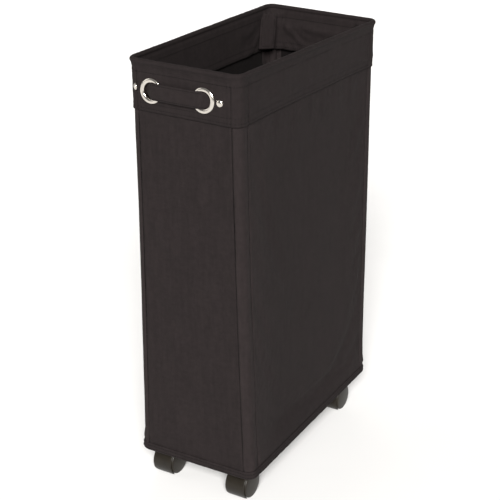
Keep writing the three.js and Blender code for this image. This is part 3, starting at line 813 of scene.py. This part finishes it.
def channel_path(sx, sy):
    """Plan view of the cloth channel, from inside the narrow wall around the post to the long wall."""
    px, py = CORNER_X + POST_AT, CORNER_Y + POST_AT
    inner = WALL - CLOTH - GAP - CHANNEL_CLOTH
    pts = [(CORNER_X - 8 * MM, CORNER_Y + inner), (CORNER_X - 4 * MM, CORNER_Y + inner)]
    for a in np.linspace(math.radians(128), math.radians(322), 22):
        pts.append((px + CHANNEL * math.cos(a), py + CHANNEL * math.sin(a)))
    pts += [(CORNER_X + inner, CORNER_Y - 6 * MM), (CORNER_X + inner, CORNER_Y - 16 * MM)]
    path = np.array(pts)
    dense = []
    for k in range(len(path) - 1):
        count = max(1, int(np.linalg.norm(path[k + 1] - path[k]) / (1.2 * MM)))
        for m in range(count):
            dense.append(path[k] + (path[k + 1] - path[k]) * m / count)
    dense.append(path[-1])
    path = np.array(dense)
    for _ in range(3):
        path[1:-1] = path[1:-1] * 0.5 + (path[:-2] + path[2:]) * 0.25
    return path * np.array([sx, sy])


def sideways(path):
    """Directions square to a flat path, to its left."""
    ahead = unit(np.gradient(path, axis=0))
    return np.stack([-ahead[:, 1], ahead[:, 0]], 1)


def corner_sleeve(name, seed):
    sx, sy = CORNERS[name]
    a, b = SEAM_PAIRS[name]
    us = spread(a + SEAM_GAP, b - SEAM_GAP, 1.3 * MM)
    zs = spread(WALL_FOOT, WALL_TOP, WALL_STEP)
    u, z = np.meshgrid(us, zs, indexing="ij")
    out = (seam_pucker(u, z, a, seed) + seam_pucker(u, z, b, seed + 1)) * quiet(z)
    tug = 0.35 * MM * noise(z / (60 * MM), u / (20 * MM), seed + 2) * smooth(560 * MM, 520 * MM, z)
    out = out + tug + base_pinch(u, z) - tucked(z)
    outer, inner = on_bag(u, z, WALL + out), on_bag(u, z, WALL - CLOTH + out)
    strip = shell(f"strip_{name}", outer, inner, us, zs, INNER_SIDE_FROM)
    zs = spread(CHANNEL_FOOT, WALL_TOP, WALL_STEP)
    path = channel_path(sx, sy)
    along = distances(path)
    sway = 0.25 * MM * noise(along[:, None] / (14 * MM), zs[None] / (45 * MM), seed + 5)
    layers = []
    for side in (-0.5, 0.5):
        line = path + sideways(path) * (side * CHANNEL_CLOTH)
        grid = np.zeros((len(path), len(zs), 3))
        grid[..., 0] = line[:, 0:1] - sx * sway
        grid[..., 1] = line[:, 1:2] - sy * sway
        grid[..., 2] = zs[None]
        layers.append(lean(grid))
    channel = shell(f"channel_{name}", layers[0], layers[1], along, zs)
    obj = joined(f"corner_sleeve_{name}", [strip, channel])
    piece(obj, SLEEVE_HIGHLIGHT_FABRIC, nodes=[f"corner_sleeve_{name}"])


for k, name in enumerate(CORNERS):
    corner_sleeve(name, 101 + 10 * k)


# ---------- top band ----------
def around_bag(step, fine=1.4 * MM, near=8 * MM):
    """Places once around the bag, closer together at the corners and beside them."""
    parts = []
    for k in range(8):
        length = ARC if k % 2 else (FRONT if k in (0, 4) else SIDE)
        a, b = STARTS[k], STARTS[k] + length
        if k % 2:
            parts.append(spread(a, b, fine)[:-1])
            continue
        reach = near if k in (0, 4) else near + SIDE_SEAM
        parts += [spread(a, a + reach, fine)[:-1], spread(a + reach, b - reach, step)[:-1]]
        parts.append(spread(b - reach, b, fine)[:-1])
    return np.concatenate(parts)


def band_ripple(u, z, seed):
    """Gathers, soft creases and seam grooves of the band's outer leg."""
    gathers = noise(u / (7 * MM), z / (16 * MM), seed) * 0.38 * MM
    near_rows = np.exp(-np.abs(z - BAND_FOOT) / (9 * MM)) + 0.7 * np.exp(-np.abs(z - CASING_Z) / (7 * MM))
    soft = folds(u / (38 * MM), z / (50 * MM), seed + 3, 2) * 0.35 * MM
    level = folds(u / (60 * MM), z / (13 * MM), seed + 5, 2) * 0.62 * MM
    soft = soft + level * smooth(BAND_FOOT, 575 * MM, z)
    edge = hump(z - BAND_FOOT, 3 * MM) * 0.15 * MM
    dip = 0.0
    for row in (*HEM_ROWS, CASING_Z):
        dip = dip - 0.4 * MM * hump(z - row, 1.2 * MM)
    for seam in ALL_SEAMS:
        away = nearness(u, seam)
        dip = dip - 1.15 * MM * hump(away, 1.3 * MM)
        dip = dip + 0.4 * MM * hump(away - 2.8 * MM, 1.4 * MM)
        dip = dip + 0.35 * MM * noise(z / (6 * MM), u / (9 * MM), seed + 9) * np.exp(-away / (6 * MM))
    for k in ARCS:
        du = beyond(u, STARTS[k] + ARC * 0.7)
        dz = z - 600 * MM
        slant = (dz + 0.5 * du) / (2.2 * MM)
        dip = dip + 0.8 * MM * slant * np.exp(-slant**2 - (du / (6 * MM)) ** 2)
    return 0.35 * MM + gathers * near_rows + soft + edge + dip


CHAMFER = 15 * MM             # where the inner leg leaves the walls to pass inside a post


def back_folds(u, z):
    """Folds that fan out from the back left corner over the inside of the band."""
    total = 0.0
    down = 618 * MM - z
    for away, size in ((STARTS[5] - u, 1.0), (u - STARTS[6], 0.75)):
        inside = smooth(-2 * MM, 10 * MM, away) * smooth(120 * MM, 40 * MM, away)
        angle = np.arctan2(down, np.maximum(away, 0) + 8 * MM)
        far = np.hypot(down, away)
        wave = np.sin(angle * 15 + 1.5 * noise(far / (30 * MM), angle * 2, 241))
        total = total + size * 1.5 * MM * wave * inside * smooth(6 * MM, 26 * MM, far)
    return total


def inner_leg(u, z, depth=0.0):
    """Places on the band's inner leg, depth towards the wall."""
    away = smooth(CASING_Z, CASING_Z - 14 * MM, z)
    swell = (folds(u / (30 * MM), z / (40 * MM), 231, 2) * 0.5 - 0.5) * MM * away + back_folds(u, z) * away
    swell = swell + 0.3 * MM * hump(z - CASING_Z, 1.6 * MM)
    narrow = (np.abs(outline(u)[1]) > CORNER_Y - 1e-6).astype(float)
    radius = WALL - CLOTH - GAP - LEG - 0.5 * MM + depth - np.abs(swell)
    around = on_bag(u, z, radius, POCKET * narrow * away)
    result = around.copy()
    reach = ARC / 2 + CHAMFER
    radius = WALL - CLOTH - GAP - LEG - 0.5 * MM + depth
    for k in ARCS:
        middle = STARTS[k] + ARC / 2
        here = nearness(u, middle) < reach
        if not here.any():
            continue
        height, t = z[here], (beyond(u, middle)[here] / reach + 1) / 2
        flat = np.full_like(height, middle)
        pocket = POCKET * away[here]
        start = on_bag(flat - reach, height, radius, pocket * (k in (1, 5)))
        end = on_bag(flat + reach, height, radius, pocket * (k in (3, 7)))
        straight = start * (1 - t)[:, None] + end * t[:, None]
        outwards = unit(on_bag(flat, height, 1 * MM) - on_bag(flat, height, 0.0))
        gather = 0.9 * MM * np.sin(t * 26) * np.exp(-np.maximum(612 * MM - height, 0) / (14 * MM))
        bulge = (1.2 * MM * np.sin(math.pi * t) + gather)[:, None] * outwards
        leave = smooth(618.5 * MM, 613 * MM, height)[:, None]
        result[here] = around[here] * (1 - leave) + (straight + bulge) * leave
    return result


def band_profile(u):
    """Both sides of the band's cloth at u, from the outer hem over the wire to the inner hem."""
    layers = []
    outer_leg = spread(BAND_FOOT, CASING_Z + 4 * MM, 2.4 * MM)
    for depth in (0.0, LEG):
        column = []
        for z in outer_leg:
            zz = np.full_like(u, z)
            ripple = band_ripple(u, zz, 201) * smooth(CASING_Z + 6 * MM, CASING_Z - 2 * MM, z)
            column.append(on_bag(u, zz, WALL + GAP + LEG - depth + ripple))
        size = ROLL - depth
        for angle in np.radians(np.linspace(-52, 228, 15)):
            pinch = 0.16 * MM * noise(u / (4.5 * MM), np.full_like(u, angle), 221)
            pinch = pinch + 0.2 * MM * noise(u / (40 * MM), angle, 223)
            zz = np.full_like(u, ROLL_Z) + (size + pinch) * math.sin(angle)
            column.append(on_bag(u, zz, ROLL_AT + (size + pinch) * math.cos(angle)))
        for z in np.linspace(INNER_TOP, INNER_FOOT, 19):
            column.append(inner_leg(u, np.full_like(u, z), depth))
        layers.append(np.stack(column, 1))
    return layers


def top_band():
    us = around_bag(2.6 * MM)
    outer, inner = band_profile(us)
    vs = distances(outer[10])
    obj = hoop("top_band", outer, inner, us, vs)
    piece(obj, FABRIC, nodes=["top_band"])
    return obj, vs[-1]


band, band_width = top_band()


# ---------- holes for the handle ----------
def local_frame(u, z, radius):
    """A place on the bag, with its directions along the bag, up and outward."""
    p = on_bag(u, z, radius)
    along = unit(on_bag(u + 1 * MM, z, radius) - on_bag(u - 1 * MM, z, radius))
    up = on_bag(u, z + 1 * MM, radius) - on_bag(u, z - 1 * MM, radius)
    out = unit(np.cross(along, up))
    return p, (along, np.cross(out, along), out)


BAND_FACE = WALL + GAP + LEG + 0.35 * MM


def drill(obj, places, depth):
    """Cuts the eyelets' round holes through an object, from just above the band's face."""
    radius, high = EYELET_HOLE + 1.1 * MM, 4 * MM
    profile = [(0, -depth), (radius, -depth), (radius, high), (0, high)]
    cutters = [lathe("cutter", profile, *local_frame(u, HANDLE_Z, BAND_FACE), 40) for u in places]
    cutter = joined("cutter", cutters)
    bpy.context.view_layer.objects.active = obj
    modifier = obj.modifiers.new("holes", "BOOLEAN")
    modifier.object = cutter
    modifier.operation = "DIFFERENCE"
    modifier.solver = "EXACT"
    bpy.ops.object.modifier_apply(modifier=modifier.name)
    bpy.data.objects.remove(cutter, do_unlink=True)
    obj.data.polygons.foreach_set("use_smooth", [True] * len(obj.data.polygons))


HANDLES = {"front": FRONT_MIDDLE - HANDLE_SHIFT, "back": BACK_MIDDLE - HANDLE_SHIFT}
for end, middle in HANDLES.items():
    holes = [middle - EYELET_X, middle + EYELET_X]
    drill(band, holes, 3.0 * MM)
    drill(panels[end], holes, 4.2 * MM)


# ---------- eyelets, rivets and strap handles ----------
def eyelet(name, u):
    inner, outer = EYELET_HOLE, EYELET_RADIUS
    middle, half = (inner + outer) / 2, (outer - inner) / 2
    lip = []
    for a in np.radians(np.linspace(0, 180, 17)):
        lip.append((middle + half * math.cos(a), 0.25 * MM + 2.2 * MM * math.sin(a) ** 0.75))
    barrel = [
        (inner, -2.9 * MM), (inner + 0.3 * MM, -3.5 * MM), (outer - 2.0 * MM, -3.7 * MM),
        (outer - 1.6 * MM, -3.3 * MM), (outer - 2.0 * MM, -3.0 * MM), (inner + 0.8 * MM, -2.9 * MM),
        (inner + 0.8 * MM, 0.1 * MM), (outer - 0.4 * MM, 0.1 * MM),
    ]
    obj = lathe(name, lip + barrel, *local_frame(u, HANDLE_Z, BAND_FACE), 72)
    piece(obj, CHROME, nodes=[name])


def rivet(name, u, z, turn):
    """Domed rivet that joins the band and a strap end. turn tips it outward."""
    place, (along, up, out) = local_frame(u, z, BAND_FACE)
    tipped = out * math.cos(turn) - along * math.sin(turn)
    along = along * math.cos(turn) + out * math.sin(turn)
    head = [(0, 2.9 * MM)]
    for a in np.radians(np.linspace(8, 90, 9)):
        head.append((RIVET_RADIUS * math.sin(a), 0.2 * MM + 2.7 * MM * math.cos(a)))
    shank = [
        (RIVET_RADIUS - 0.3 * MM, -0.2 * MM), (2.0 * MM, -0.2 * MM), (2.0 * MM, -7.2 * MM),
        (4.0 * MM, -7.2 * MM), (4.0 * MM, -7.9 * MM), (0, -8.2 * MM),
    ]
    obj = lathe(name, head + shank, place, (along, up, tipped), 48)
    piece(obj, CHROME, nodes=[name])


def strap_route():
    """(place along the face, height above the band's face) from the middle to one end."""
    top, back = 3.7 * MM, -5.4 * MM
    start, span = EYELET_X - 6 * MM, 18 * MM
    flat = [(t * start, top + 1.0 * MM * (1 - t * t)) for t in np.linspace(0, 1, 14)]
    dive = []
    for t in np.linspace(0, 1, 26)[1:]:
        ease = t * t * (3 - 2 * t)
        dive.append((start + span * t, top + (back - top) * ease))
    tail = [(x, back) for x in spread(EYELET_X + 13 * MM, RIVET_X + 3 * MM, 2 * MM)]
    return flat + dive + tail


def strap_half_width(x):
    """Half the strap's width at a place along the face: its edges curl in to pass through the ring."""
    into = np.abs(x) - EYELET_X
    room = np.sqrt(np.maximum(EYELET_HOLE**2 - np.clip(into, 0, 8 * MM) ** 2, 0)) - 0.3 * MM
    passing = smooth(-2.5 * MM, 0.5 * MM, into) * smooth(14 * MM, 11 * MM, into)
    return STRAP_WIDTH / 2 * (1 - passing) + np.minimum(room, STRAP_WIDTH / 2) * passing


def strap(end, middle):
    half = np.array(strap_route())
    left = half[1:][::-1] * np.array([-1, 1])
    route = np.concatenate([left, half])
    lift = sideways(route)
    half_width = strap_half_width(route[:, 0])
    neck = smooth(-6 * MM, 0, np.abs(route[:, 0]) - EYELET_X)
    across = np.linspace(-1, 1, 15)
    layers = []
    for side in (1, -1):
        grid = np.zeros((len(route), len(across), 3))
        for j, f in enumerate(across):
            dip = 0.35 * MM * hump((1 - abs(f)) * STRAP_WIDTH / 2 - 2.2 * MM, 0.9 * MM)
            thick = (STRAP_THICK / 2) * (1 - 0.45 * abs(f) ** 8) - dip * 0.6
            curl = 0.5 * MM * (f * f) * (1 - neck)
            wave = 0.3 * MM * folds(route[:, 0] / (18 * MM), f * 1.2, 301, 2)
            base = route + lift * (side * thick + wave * (1 - neck) - curl)[:, None]
            grid[:, j] = on_bag(middle + base[:, 0], HANDLE_Z + f * half_width, BAND_FACE + base[:, 1])
        layers.append(grid)
    steps = distances(route)
    obj = shell(f"handle_strap_{end}", layers[0], layers[1], steps, across * STRAP_WIDTH / 2)
    piece(obj, TRIM, nodes=[f"handle_strap_{end}"])
    visible = np.abs(route[:, 0]) < EYELET_X + 1 * MM
    top, below = layers[0][visible], layers[1][visible]
    rows = []
    for j, beside in ((2, 1), (12, 13)):
        line = (top[:, j] + top[:, beside]) / 2
        rows.append(stitch_row(line, line + top[:, j] - below[:, j], 3.2 * MM, STRAP_STITCH, 40 + j))
    sewn = thread(f"strap_stitches_{end}", rows)


for end, middle in HANDLES.items():
    sides = ("left", "right") if end == "front" else ("right", "left")
    for side, sign in zip(sides, (-1, 1)):
        eyelet(f"eyelet_{end}_{side}", middle + sign * EYELET_X)
        pulled = sign < 0
        height, turn = HANDLE_Z + 2.4 * MM * pulled, math.radians(34) * pulled
        rivet(f"rivet_{end}_{side}", middle + sign * RIVET_X, height, turn)
    strap(end, middle)


# ---------- stitches on the bag ----------
def lap_row(z, radius, seed, pitch=4 * MM, size=STITCH):
    """Stitches once around the bag at a height. radius gives their place on the cloth."""
    us = np.arange(0, LAP + 2 * MM, 2 * MM)
    r = radius(us, np.full_like(us, z))
    return stitch_row(on_bag(us, z, r), on_bag(us, z, r + 1 * MM), pitch, size, seed + len(us))


def seam_row(seam, low, high, radius, seed):
    """Stitches that run up a seam."""
    zs = spread(low, high, 4 * MM)
    us = np.full_like(zs, seam)
    r = radius(us, zs)
    return stitch_row(on_bag(us, zs, r), on_bag(us, zs, r + 1 * MM), 3.6 * MM, SEAM_STITCH, seed)


def inside_row(z, seed):
    """Stitches on the band's inner leg, seen from inside the bag."""
    us = np.arange(0, LAP + 1.5 * MM, 1.5 * MM)
    zz = np.full_like(us, z)
    line = inner_leg(us, zz)
    return stitch_row(line, 2 * line - inner_leg(us, zz, LEG), 4 * MM, INSIDE_STITCH, seed)


def outer_leg_radius(u, z):
    return WALL + GAP + LEG + band_ripple(u, z, 201)


def wall_radius(u, z):
    return WALL - 0.55 * MM


rows = [lap_row(z, outer_leg_radius, int(z * 1e4)) for z in HEM_ROWS]
rows.append(lap_row(CASING_Z, outer_leg_radius, 77, 3.6 * MM))
thread("band_stitches_outside", rows)

rows = []
for k, seam in enumerate(ALL_SEAMS):
    rows.append(seam_row(seam, 60 * MM, 555 * MM, wall_radius, 640 + k))
    rows.append(seam_row(seam, 559 * MM, 614 * MM, outer_leg_radius, 660 + k))
thread("seam_stitches", rows)

inside = ((564 * MM, 500), (571 * MM, 510), (CASING_Z, 540))
thread("band_stitches_inside", [inside_row(z, seed) for z, seed in inside])


# ---------- bottom binding, cover, board and insert ----------
def binding_bulge(u, z):
    t = (z - BAG_BOTTOM) / (BINDING_TOP - BAG_BOTTOM)
    ridges = 0.6 * MM * np.sin(math.pi * t * 2) ** 2
    return ridges + 0.25 * MM * noise(u / (6 * MM), t * 3, 401) - 0.7 * MM * (np.abs(2 * t - 1) ** 10)


def binding_face(u, z):
    return WALL + GAP + BINDING * 0.6 + binding_bulge(u, z)


def bottom_binding():
    us = around_bag(3.0 * MM)
    zs = spread(BAG_BOTTOM, BINDING_TOP, 0.8 * MM)
    u, z = np.meshgrid(us, zs, indexing="ij")
    outer, inner = on_bag(u, z, binding_face(u, z)), on_bag(u, z, WALL + GAP)
    obj = hoop("bottom_binding", outer, inner, us, zs)
    piece(obj, TRIM, nodes=["bottom_binding"])
    rows = [lap_row(row, binding_face, 600, size=BINDING_STITCH) for row in (48.3 * MM, 53.6 * MM)]
    sewn = thread("binding_stitches", rows)


bottom_binding()


def plate(name, radius, low, high, edge, sag=0.0, seed=1, chamfer=0.0):
    """Rounded-rectangle slab with soft edges. It follows the lean of the bag.
    sag makes its faces uneven, and chamfer cuts its corners to clear the posts."""
    us = around_bag(7 * MM, 2.5 * MM)
    bx, by, nx, ny = outline(us)
    x, y = bx + nx * radius, by + ny * radius
    if chamfer:
        over = np.maximum(0, np.abs(x) + np.abs(y) - (CORNER_X + CORNER_Y + 2 * radius - chamfer))
        x, y = x - np.sign(x) * over / 2, y - np.sign(y) * over / 2
    scales = [k / 10 for k in range(1, 10)] + [1 - edge / (80 * MM)]
    rings = [(scale, low) for scale in scales] + [(1.0, low + edge), (1.0, high - edge)]
    rings += [(scale, high) for scale in scales[::-1]]
    vertices, flat, faces = [], [], []
    for scale, z in rings:
        rough = sag * folds(x * scale / (40 * MM), y * scale / (40 * MM), seed, 2)
        vertices.extend(lean(np.stack([x * scale, y * scale, z + rough], 1)))
        flat.extend(np.stack([x * scale, y * scale], 1))
    count, last = len(us), (len(rings) - 1) * len(us)
    after = [(i + 1) % count for i in range(count)]
    for a in range(0, last, count):
        b = a + count
        faces += [(a + i, a + after[i], b + after[i], b + i) for i in range(count)]
    for first, z in ((0, low), (last, high)):
        vertices.append(lean(np.array([0, 0, z])))
        flat.append((0, 0))
        centre = len(vertices) - 1
        for i in range(count):
            edge_ends = (first + i, first + after[i]) if first else (after[i], i)
            faces.append((centre, *edge_ends))
    faces, uvs = outward(vertices, faces, [flat[v] for face in faces for v in face])
    return new_object(name, vertices, faces, uvs)


# foot and top of each slab in the base
COVER = (BAG_BOTTOM, 46.2 * MM)
BOARD_SLAB = (46.6 * MM, 55.4 * MM)
INSERT = (56.2 * MM, 59.2 * MM)

cover = plate("bottom_cover", WALL, *COVER, 0.4 * MM, 0.05 * MM, 701)
piece(cover, TRIM, nodes=["bottom_cover"])
board = plate("base_board", WALL - CLOTH - 1.6 * MM, *BOARD_SLAB, 0.8 * MM)
piece(board, BOARD, nodes=["base_board"])
insert = plate("floor_insert", WALL - CLOTH - 1.4 * MM, *INSERT, 1.0 * MM, 0.25 * MM, 711, 26 * MM)
piece(insert, FLOOR_FABRIC, nodes=["floor_insert"])


# ---------- rim wire, posts and clips ----------
def tube(name, centre, radius, us, wrap=False, steps=16):
    """Round bar along a line of points."""
    ahead = unit(np.roll(centre, -1, 0) - np.roll(centre, 1, 0) if wrap else np.gradient(centre, axis=0))
    guide = np.array([0, 0, 1.0]) if wrap else np.array([1.0, 0, 0])
    side = unit(np.cross(ahead, guide))
    up = np.cross(side, ahead)
    turn = np.linspace(0, 2 * math.pi, steps, endpoint=False)
    cos, sin = np.cos(turn)[None, :, None], np.sin(turn)[None, :, None]
    points = centre[:, None] + radius * (cos * side[:, None] + sin * up[:, None])
    return grid_body(name, points, list(us) + [us[-1] + 1 * MM], list(turn) + [2 * math.pi], wrap)


us = around_bag(5 * MM)
wire = tube("rim_wire", on_bag(us, ROLL_Z, ROLL_AT), WIRE, us, True)
piece(wire, STEEL, nodes=["rim_wire"])

for name, (sx, sy) in CORNERS.items():
    px, py = sx * (CORNER_X + POST_AT), sy * (CORNER_Y + POST_AT)
    zs = spread(50 * MM, 611 * MM, 12 * MM)
    line = lean(np.stack([np.full_like(zs, px), np.full_like(zs, py), zs], 1))
    post = tube(f"corner_post_{name}", line, POST - 0.1 * MM, zs, steps=24)
    piece(post, STEEL, nodes=[f"corner_post_{name}"])
    top = lean(np.array([px, py, 606.5 * MM]))
    cap = [
        (0, 5.5 * MM), (POST + 0.2 * MM, 5.3 * MM), (POST + 0.2 * MM, 0), (5.2 * MM, 0),
        (5.2 * MM, 7.0 * MM), (4.4 * MM, 8.2 * MM), (0, 8.7 * MM),
    ]
    clip = lathe(f"post_clip_{name}", rounded(cap, 0.4 * MM), top, UPRIGHT, 40)
    piece(clip, PLASTIC, nodes=[f"post_clip_{name}"])


# ---------- corner flaps ----------
FLAP_WIDTH = 24 * MM
FLAP_LENGTH = 52 * MM
FLAP_TOP = 617.5 * MM
FLAP_INSET = 7.6 * MM
FLAP_SLIDE = (-1 * MM, -16 * MM)      # at the top, from the corner along the long wall
FLAP_SWING = (-1 * MM, -6 * MM)       # and the further way its foot hangs


def corner_flap(name, seed):
    sx, sy = CORNERS[name]
    ws, hs = np.linspace(-1, 1, 17), np.linspace(0, 1, 24)
    w, h = np.meshgrid(ws, hs, indexing="ij")
    half = FLAP_WIDTH / 2 * (1 - 0.25 * hump(h, 0.1))
    z = FLAP_TOP - FLAP_LENGTH * h
    curve = 1.6 * MM * w * w * smooth(0, 0.5, h)
    curve = curve + 0.5 * MM * folds(w * 1.4, h * 3, seed, 2) * smooth(0, 0.2, h)
    gather = 0.6 * MM * np.sin(w * 14) * hump(h, 0.13)
    layers = []
    for thick in (0.0, CLOTH):
        inset = FLAP_INSET + thick - curve + gather + 1.5 * MM * np.sin(math.pi * h)
        x = CORNER_X - inset / math.sqrt(2) + w * half / math.sqrt(2)
        y = CORNER_Y - inset / math.sqrt(2) - w * half / math.sqrt(2)
        if name == "back_left":
            x = x - FLAP_SLIDE[0] - FLAP_SWING[0] * h
            y = y + FLAP_SLIDE[1] + FLAP_SWING[1] * h
        layers.append(lean(np.stack([x * sx, y * sy, z], -1)))
    back, face = layers
    obj = shell(f"corner_flap_{name}", face, back, ws * FLAP_WIDTH / 2, hs * FLAP_LENGTH)
    piece(obj, TRIM, nodes=[f"corner_flap_{name}"])
    above = 2 * face - back
    lines = [(np.s_[2, 3:22], 2), (np.s_[14, 3:22], 14), (np.s_[2:15, 21], 30)]
    rows = [stitch_row(face[at], above[at], 3.2 * MM, FLAP_STITCH, seed + more) for at, more in lines]
    sewn = thread(f"flap_stitches_{name}", rows)


for k, name in enumerate(CORNERS):
    corner_flap(name, 801 + 10 * k)


# ---------- casters ----------
HOOD_IN = WHEEL + 0.7 * MM
HOOD_OUT = WHEEL + 2.3 * MM
HALF = 15.5 * MM


def swept(name, section, angles, centre):
    """Sweeps a closed section of (x, radius) points around the X axis through centre."""
    x, radius = np.array(section).T
    a = angles[:, None]
    across = centre[1] + radius * np.cos(a)
    upward = centre[2] + radius * np.sin(a)
    points = np.stack([centre[0] + x + 0 * a, across, upward], -1)
    return grid_body(name, points, list(angles) + [0], [0] * (len(section) + 1))


def hood_section(half, inner, outer):
    """Rounded thin section, drawn out along its outside and back along its inside."""
    xs = np.sin(np.linspace(-1, 1, 17) * math.pi / 2)
    out = [(half * x, outer - 0.5 * MM * abs(x) ** 16) for x in xs]
    back = [(half * x * 0.985, inner + 0.1 * MM * abs(x) ** 10) for x in xs[::-1]]
    return out + back


def plate_solid(name, outline_points, half, centre, bevel):
    """Flat plate from a side view (y, z), as thick as 2 * half along X, with rounded edges."""
    count = len(outline_points)
    vertices = []
    for x in (centre[0] - half, centre[0] + half):
        vertices += [(x, centre[1] + y, centre[2] + z) for y, z in outline_points]
    faces = [tuple(range(count)), tuple(range(2 * count - 1, count - 1, -1))]
    for i in range(count):
        m = (i + 1) % count
        faces.append((i, m, count + m, count + i))
    faces, _ = outward(vertices, faces)
    obj = new_object(name, vertices, faces)
    bpy.context.view_layer.objects.active = obj
    modifier = obj.modifiers.new("edge", "BEVEL")
    modifier.width = bevel
    modifier.segments = 3
    bpy.ops.object.modifier_apply(modifier=modifier.name)
    return obj


def lathed(name, profile, roundness, origin, axes, steps):
    """Lathe work with rounded edges, its profile in millimetres."""
    metres = [(radius * MM, height * MM) for radius, height in profile]
    closed = profile[0][0] > 0
    return lathe(name, rounded(metres, roundness * MM, 3 if closed else 4, closed), origin, axes, steps)


WHEEL_PROFILE = [
    (0, 15.6), (2.2, 15.4), (2.2, 2.9), (19.9, 2.9), (20, 4.0), (20, 15.4), (19.5, 16.6),
    (17.8, 17.3), (11, 18.1), (5, 18.4), (0, 18.5),
]
STEM_PROFILE = [(0, 40), (9, 40), (9, 42.3), (4.0, 42.3), (4.0, 54), (0, 54.4)]
AXLE_PROFILE = [(0, -15.2), (1.9, -15.2), (1.9, 15.2), (0, 15.2)]
SOCKET_PROFILE = [(4.3, 43.6), (9, 43.6), (9, 44.7), (6.2, 44.7), (6.2, 55), (4.3, 55)]


def caster(name):
    sx, sy = CORNERS[name]
    x, y = sx * STEM_X, sy * STEM_Y
    axle = (x, y - TRAIL, WHEEL)
    fender = swept("hood", hood_section(HALF, HOOD_IN, HOOD_OUT), np.linspace(0.9, math.pi + 0.85, 48), axle)
    web = [(6 * MM * math.cos(a), 6 * MM * math.sin(a)) for a in np.linspace(math.pi, 1.7 * math.pi, 9)]
    reach = TRAIL + 8 * MM
    web += [(reach, HOOD_OUT - 3 * MM), (reach, HOOD_OUT - 0.5 * MM), (-10 * MM, HOOD_OUT - 3.6 * MM)]
    middle = plate_solid("web", web, 2.3 * MM, axle, 0.5 * MM)
    stem = lathed("stem", STEM_PROFILE, 0.5, (x, y, 0), UPRIGHT, 48)
    hood = joined(f"caster_hood_{name}", [fender, middle, stem])
    piece(hood, PLASTIC, f"caster_{name}", [f"caster_hood_{name}"])
    sideways_axes = ((0, 1, 0), (0, 0, 1), (1, 0, 0))
    pin = lathed(f"caster_axle_{name}", AXLE_PROFILE, 0.4, axle, sideways_axes, 32)
    piece(pin, STEEL, f"caster_{name}", [f"caster_axle_{name}"])
    socket = lathed(f"caster_socket_{name}", SOCKET_PROFILE, 0.25, (x, y, 0), UPRIGHT, 48)
    piece(socket, STEEL, nodes=[f"caster_socket_{name}"])
    for letter, sign in (("a", -1), ("b", 1)):
        axes = ((0, 1, 0), (0, 0, 1), (sign, 0, 0))
        wheel = lathed(f"wheel_{name}_{letter}", WHEEL_PROFILE, 0.9, axle, axes, 72)
        piece(wheel, WHEEL_PLASTIC, f"wheel_{name}_{letter}", [f"wheel_{name}_{letter}"])


for name in CORNERS:
    caster(name)


# ---------- floor, light and camera ----------
def floor_material():
    n = Nodes("floor")
    place = n.node("ShaderNodeTexCoord").outputs["Object"]
    tone = n.ramp(n.noise(place, 3.0, 3.0), (0.90, 0.90, 0.90), (0.93, 0.93, 0.93))
    n.link(tone, n.shader.inputs["Base Color"])
    n.shader.inputs["Roughness"].default_value = 0.9
    n.shader.inputs["Specular IOR Level"].default_value = 0.1
    return n.material


floor = new_object("floor", [(-20, -20, 0), (20, -20, 0), (20, 20, 0), (-20, 20, 0)], [(0, 1, 2, 3)])
floor.data.materials.append(floor_material())

world = bpy.data.worlds.new("studio")
bpy.context.scene.world = world
world.use_nodes = True
background = world.node_tree.nodes["Background"]
background.inputs["Color"].default_value = (1.0, 0.99, 0.98, 1)
background.inputs["Strength"].default_value = 0.22


def area_light(name, place, size, power):
    """Soft light that faces the middle of the bag."""
    light = bpy.data.lights.new(name, "AREA")
    light.shape = "RECTANGLE"
    light.size, light.size_y = size
    light.energy = power
    light.color = (1, 0.98, 0.95)
    obj = bpy.data.objects.new(name, light)
    obj.location = place
    obj.rotation_euler = (Vector((0, 0, 0.3)) - Vector(place)).to_track_quat("-Z", "Y").to_euler()
    bpy.context.scene.collection.objects.link(obj)


area_light("left", (-2.4, -1.6, 1.5), (1.2, 1.6), 8)
area_light("rear", (-1.6, 2.6, 1.6), (1.6, 1.6), 12)

SUN_TRAVELS = (-0.48, 0.84, -0.58)
sun = bpy.data.objects.new("sun", bpy.data.lights.new("sun", "SUN"))
sun.data.energy = 5.6
sun.data.angle = math.radians(24)
sun.data.color = (1, 0.985, 0.96)
sun.rotation_euler = Vector(SUN_TRAVELS).to_track_quat("-Z", "Y").to_euler()
bpy.context.scene.collection.objects.link(sun)

camera = bpy.data.objects.new("camera", bpy.data.cameras.new("camera"))
bpy.context.scene.collection.objects.link(camera)
ahead = Vector((-math.sin(YAW) * math.cos(PITCH), math.cos(YAW) * math.cos(PITCH), -math.sin(PITCH)))
right = Vector((ahead.y, -ahead.x, 0)).normalized()
up = right.cross(ahead)
across = math.cos(ROLL_ANGLE) * right + math.sin(ROLL_ANGLE) * up
upward = -math.sin(ROLL_ANGLE) * right + math.cos(ROLL_ANGLE) * up
turned = Matrix((across, upward, -ahead)).transposed().to_4x4()
camera.matrix_world = Matrix.Translation(Vector(EYE)) @ turned
camera.data.lens = LENS
camera.data.sensor_width = 36
camera.data.clip_start = 0.05
camera.data.clip_end = 60
bpy.context.scene.camera = camera
bpy.context.scene.view_settings.view_transform = "Standard"
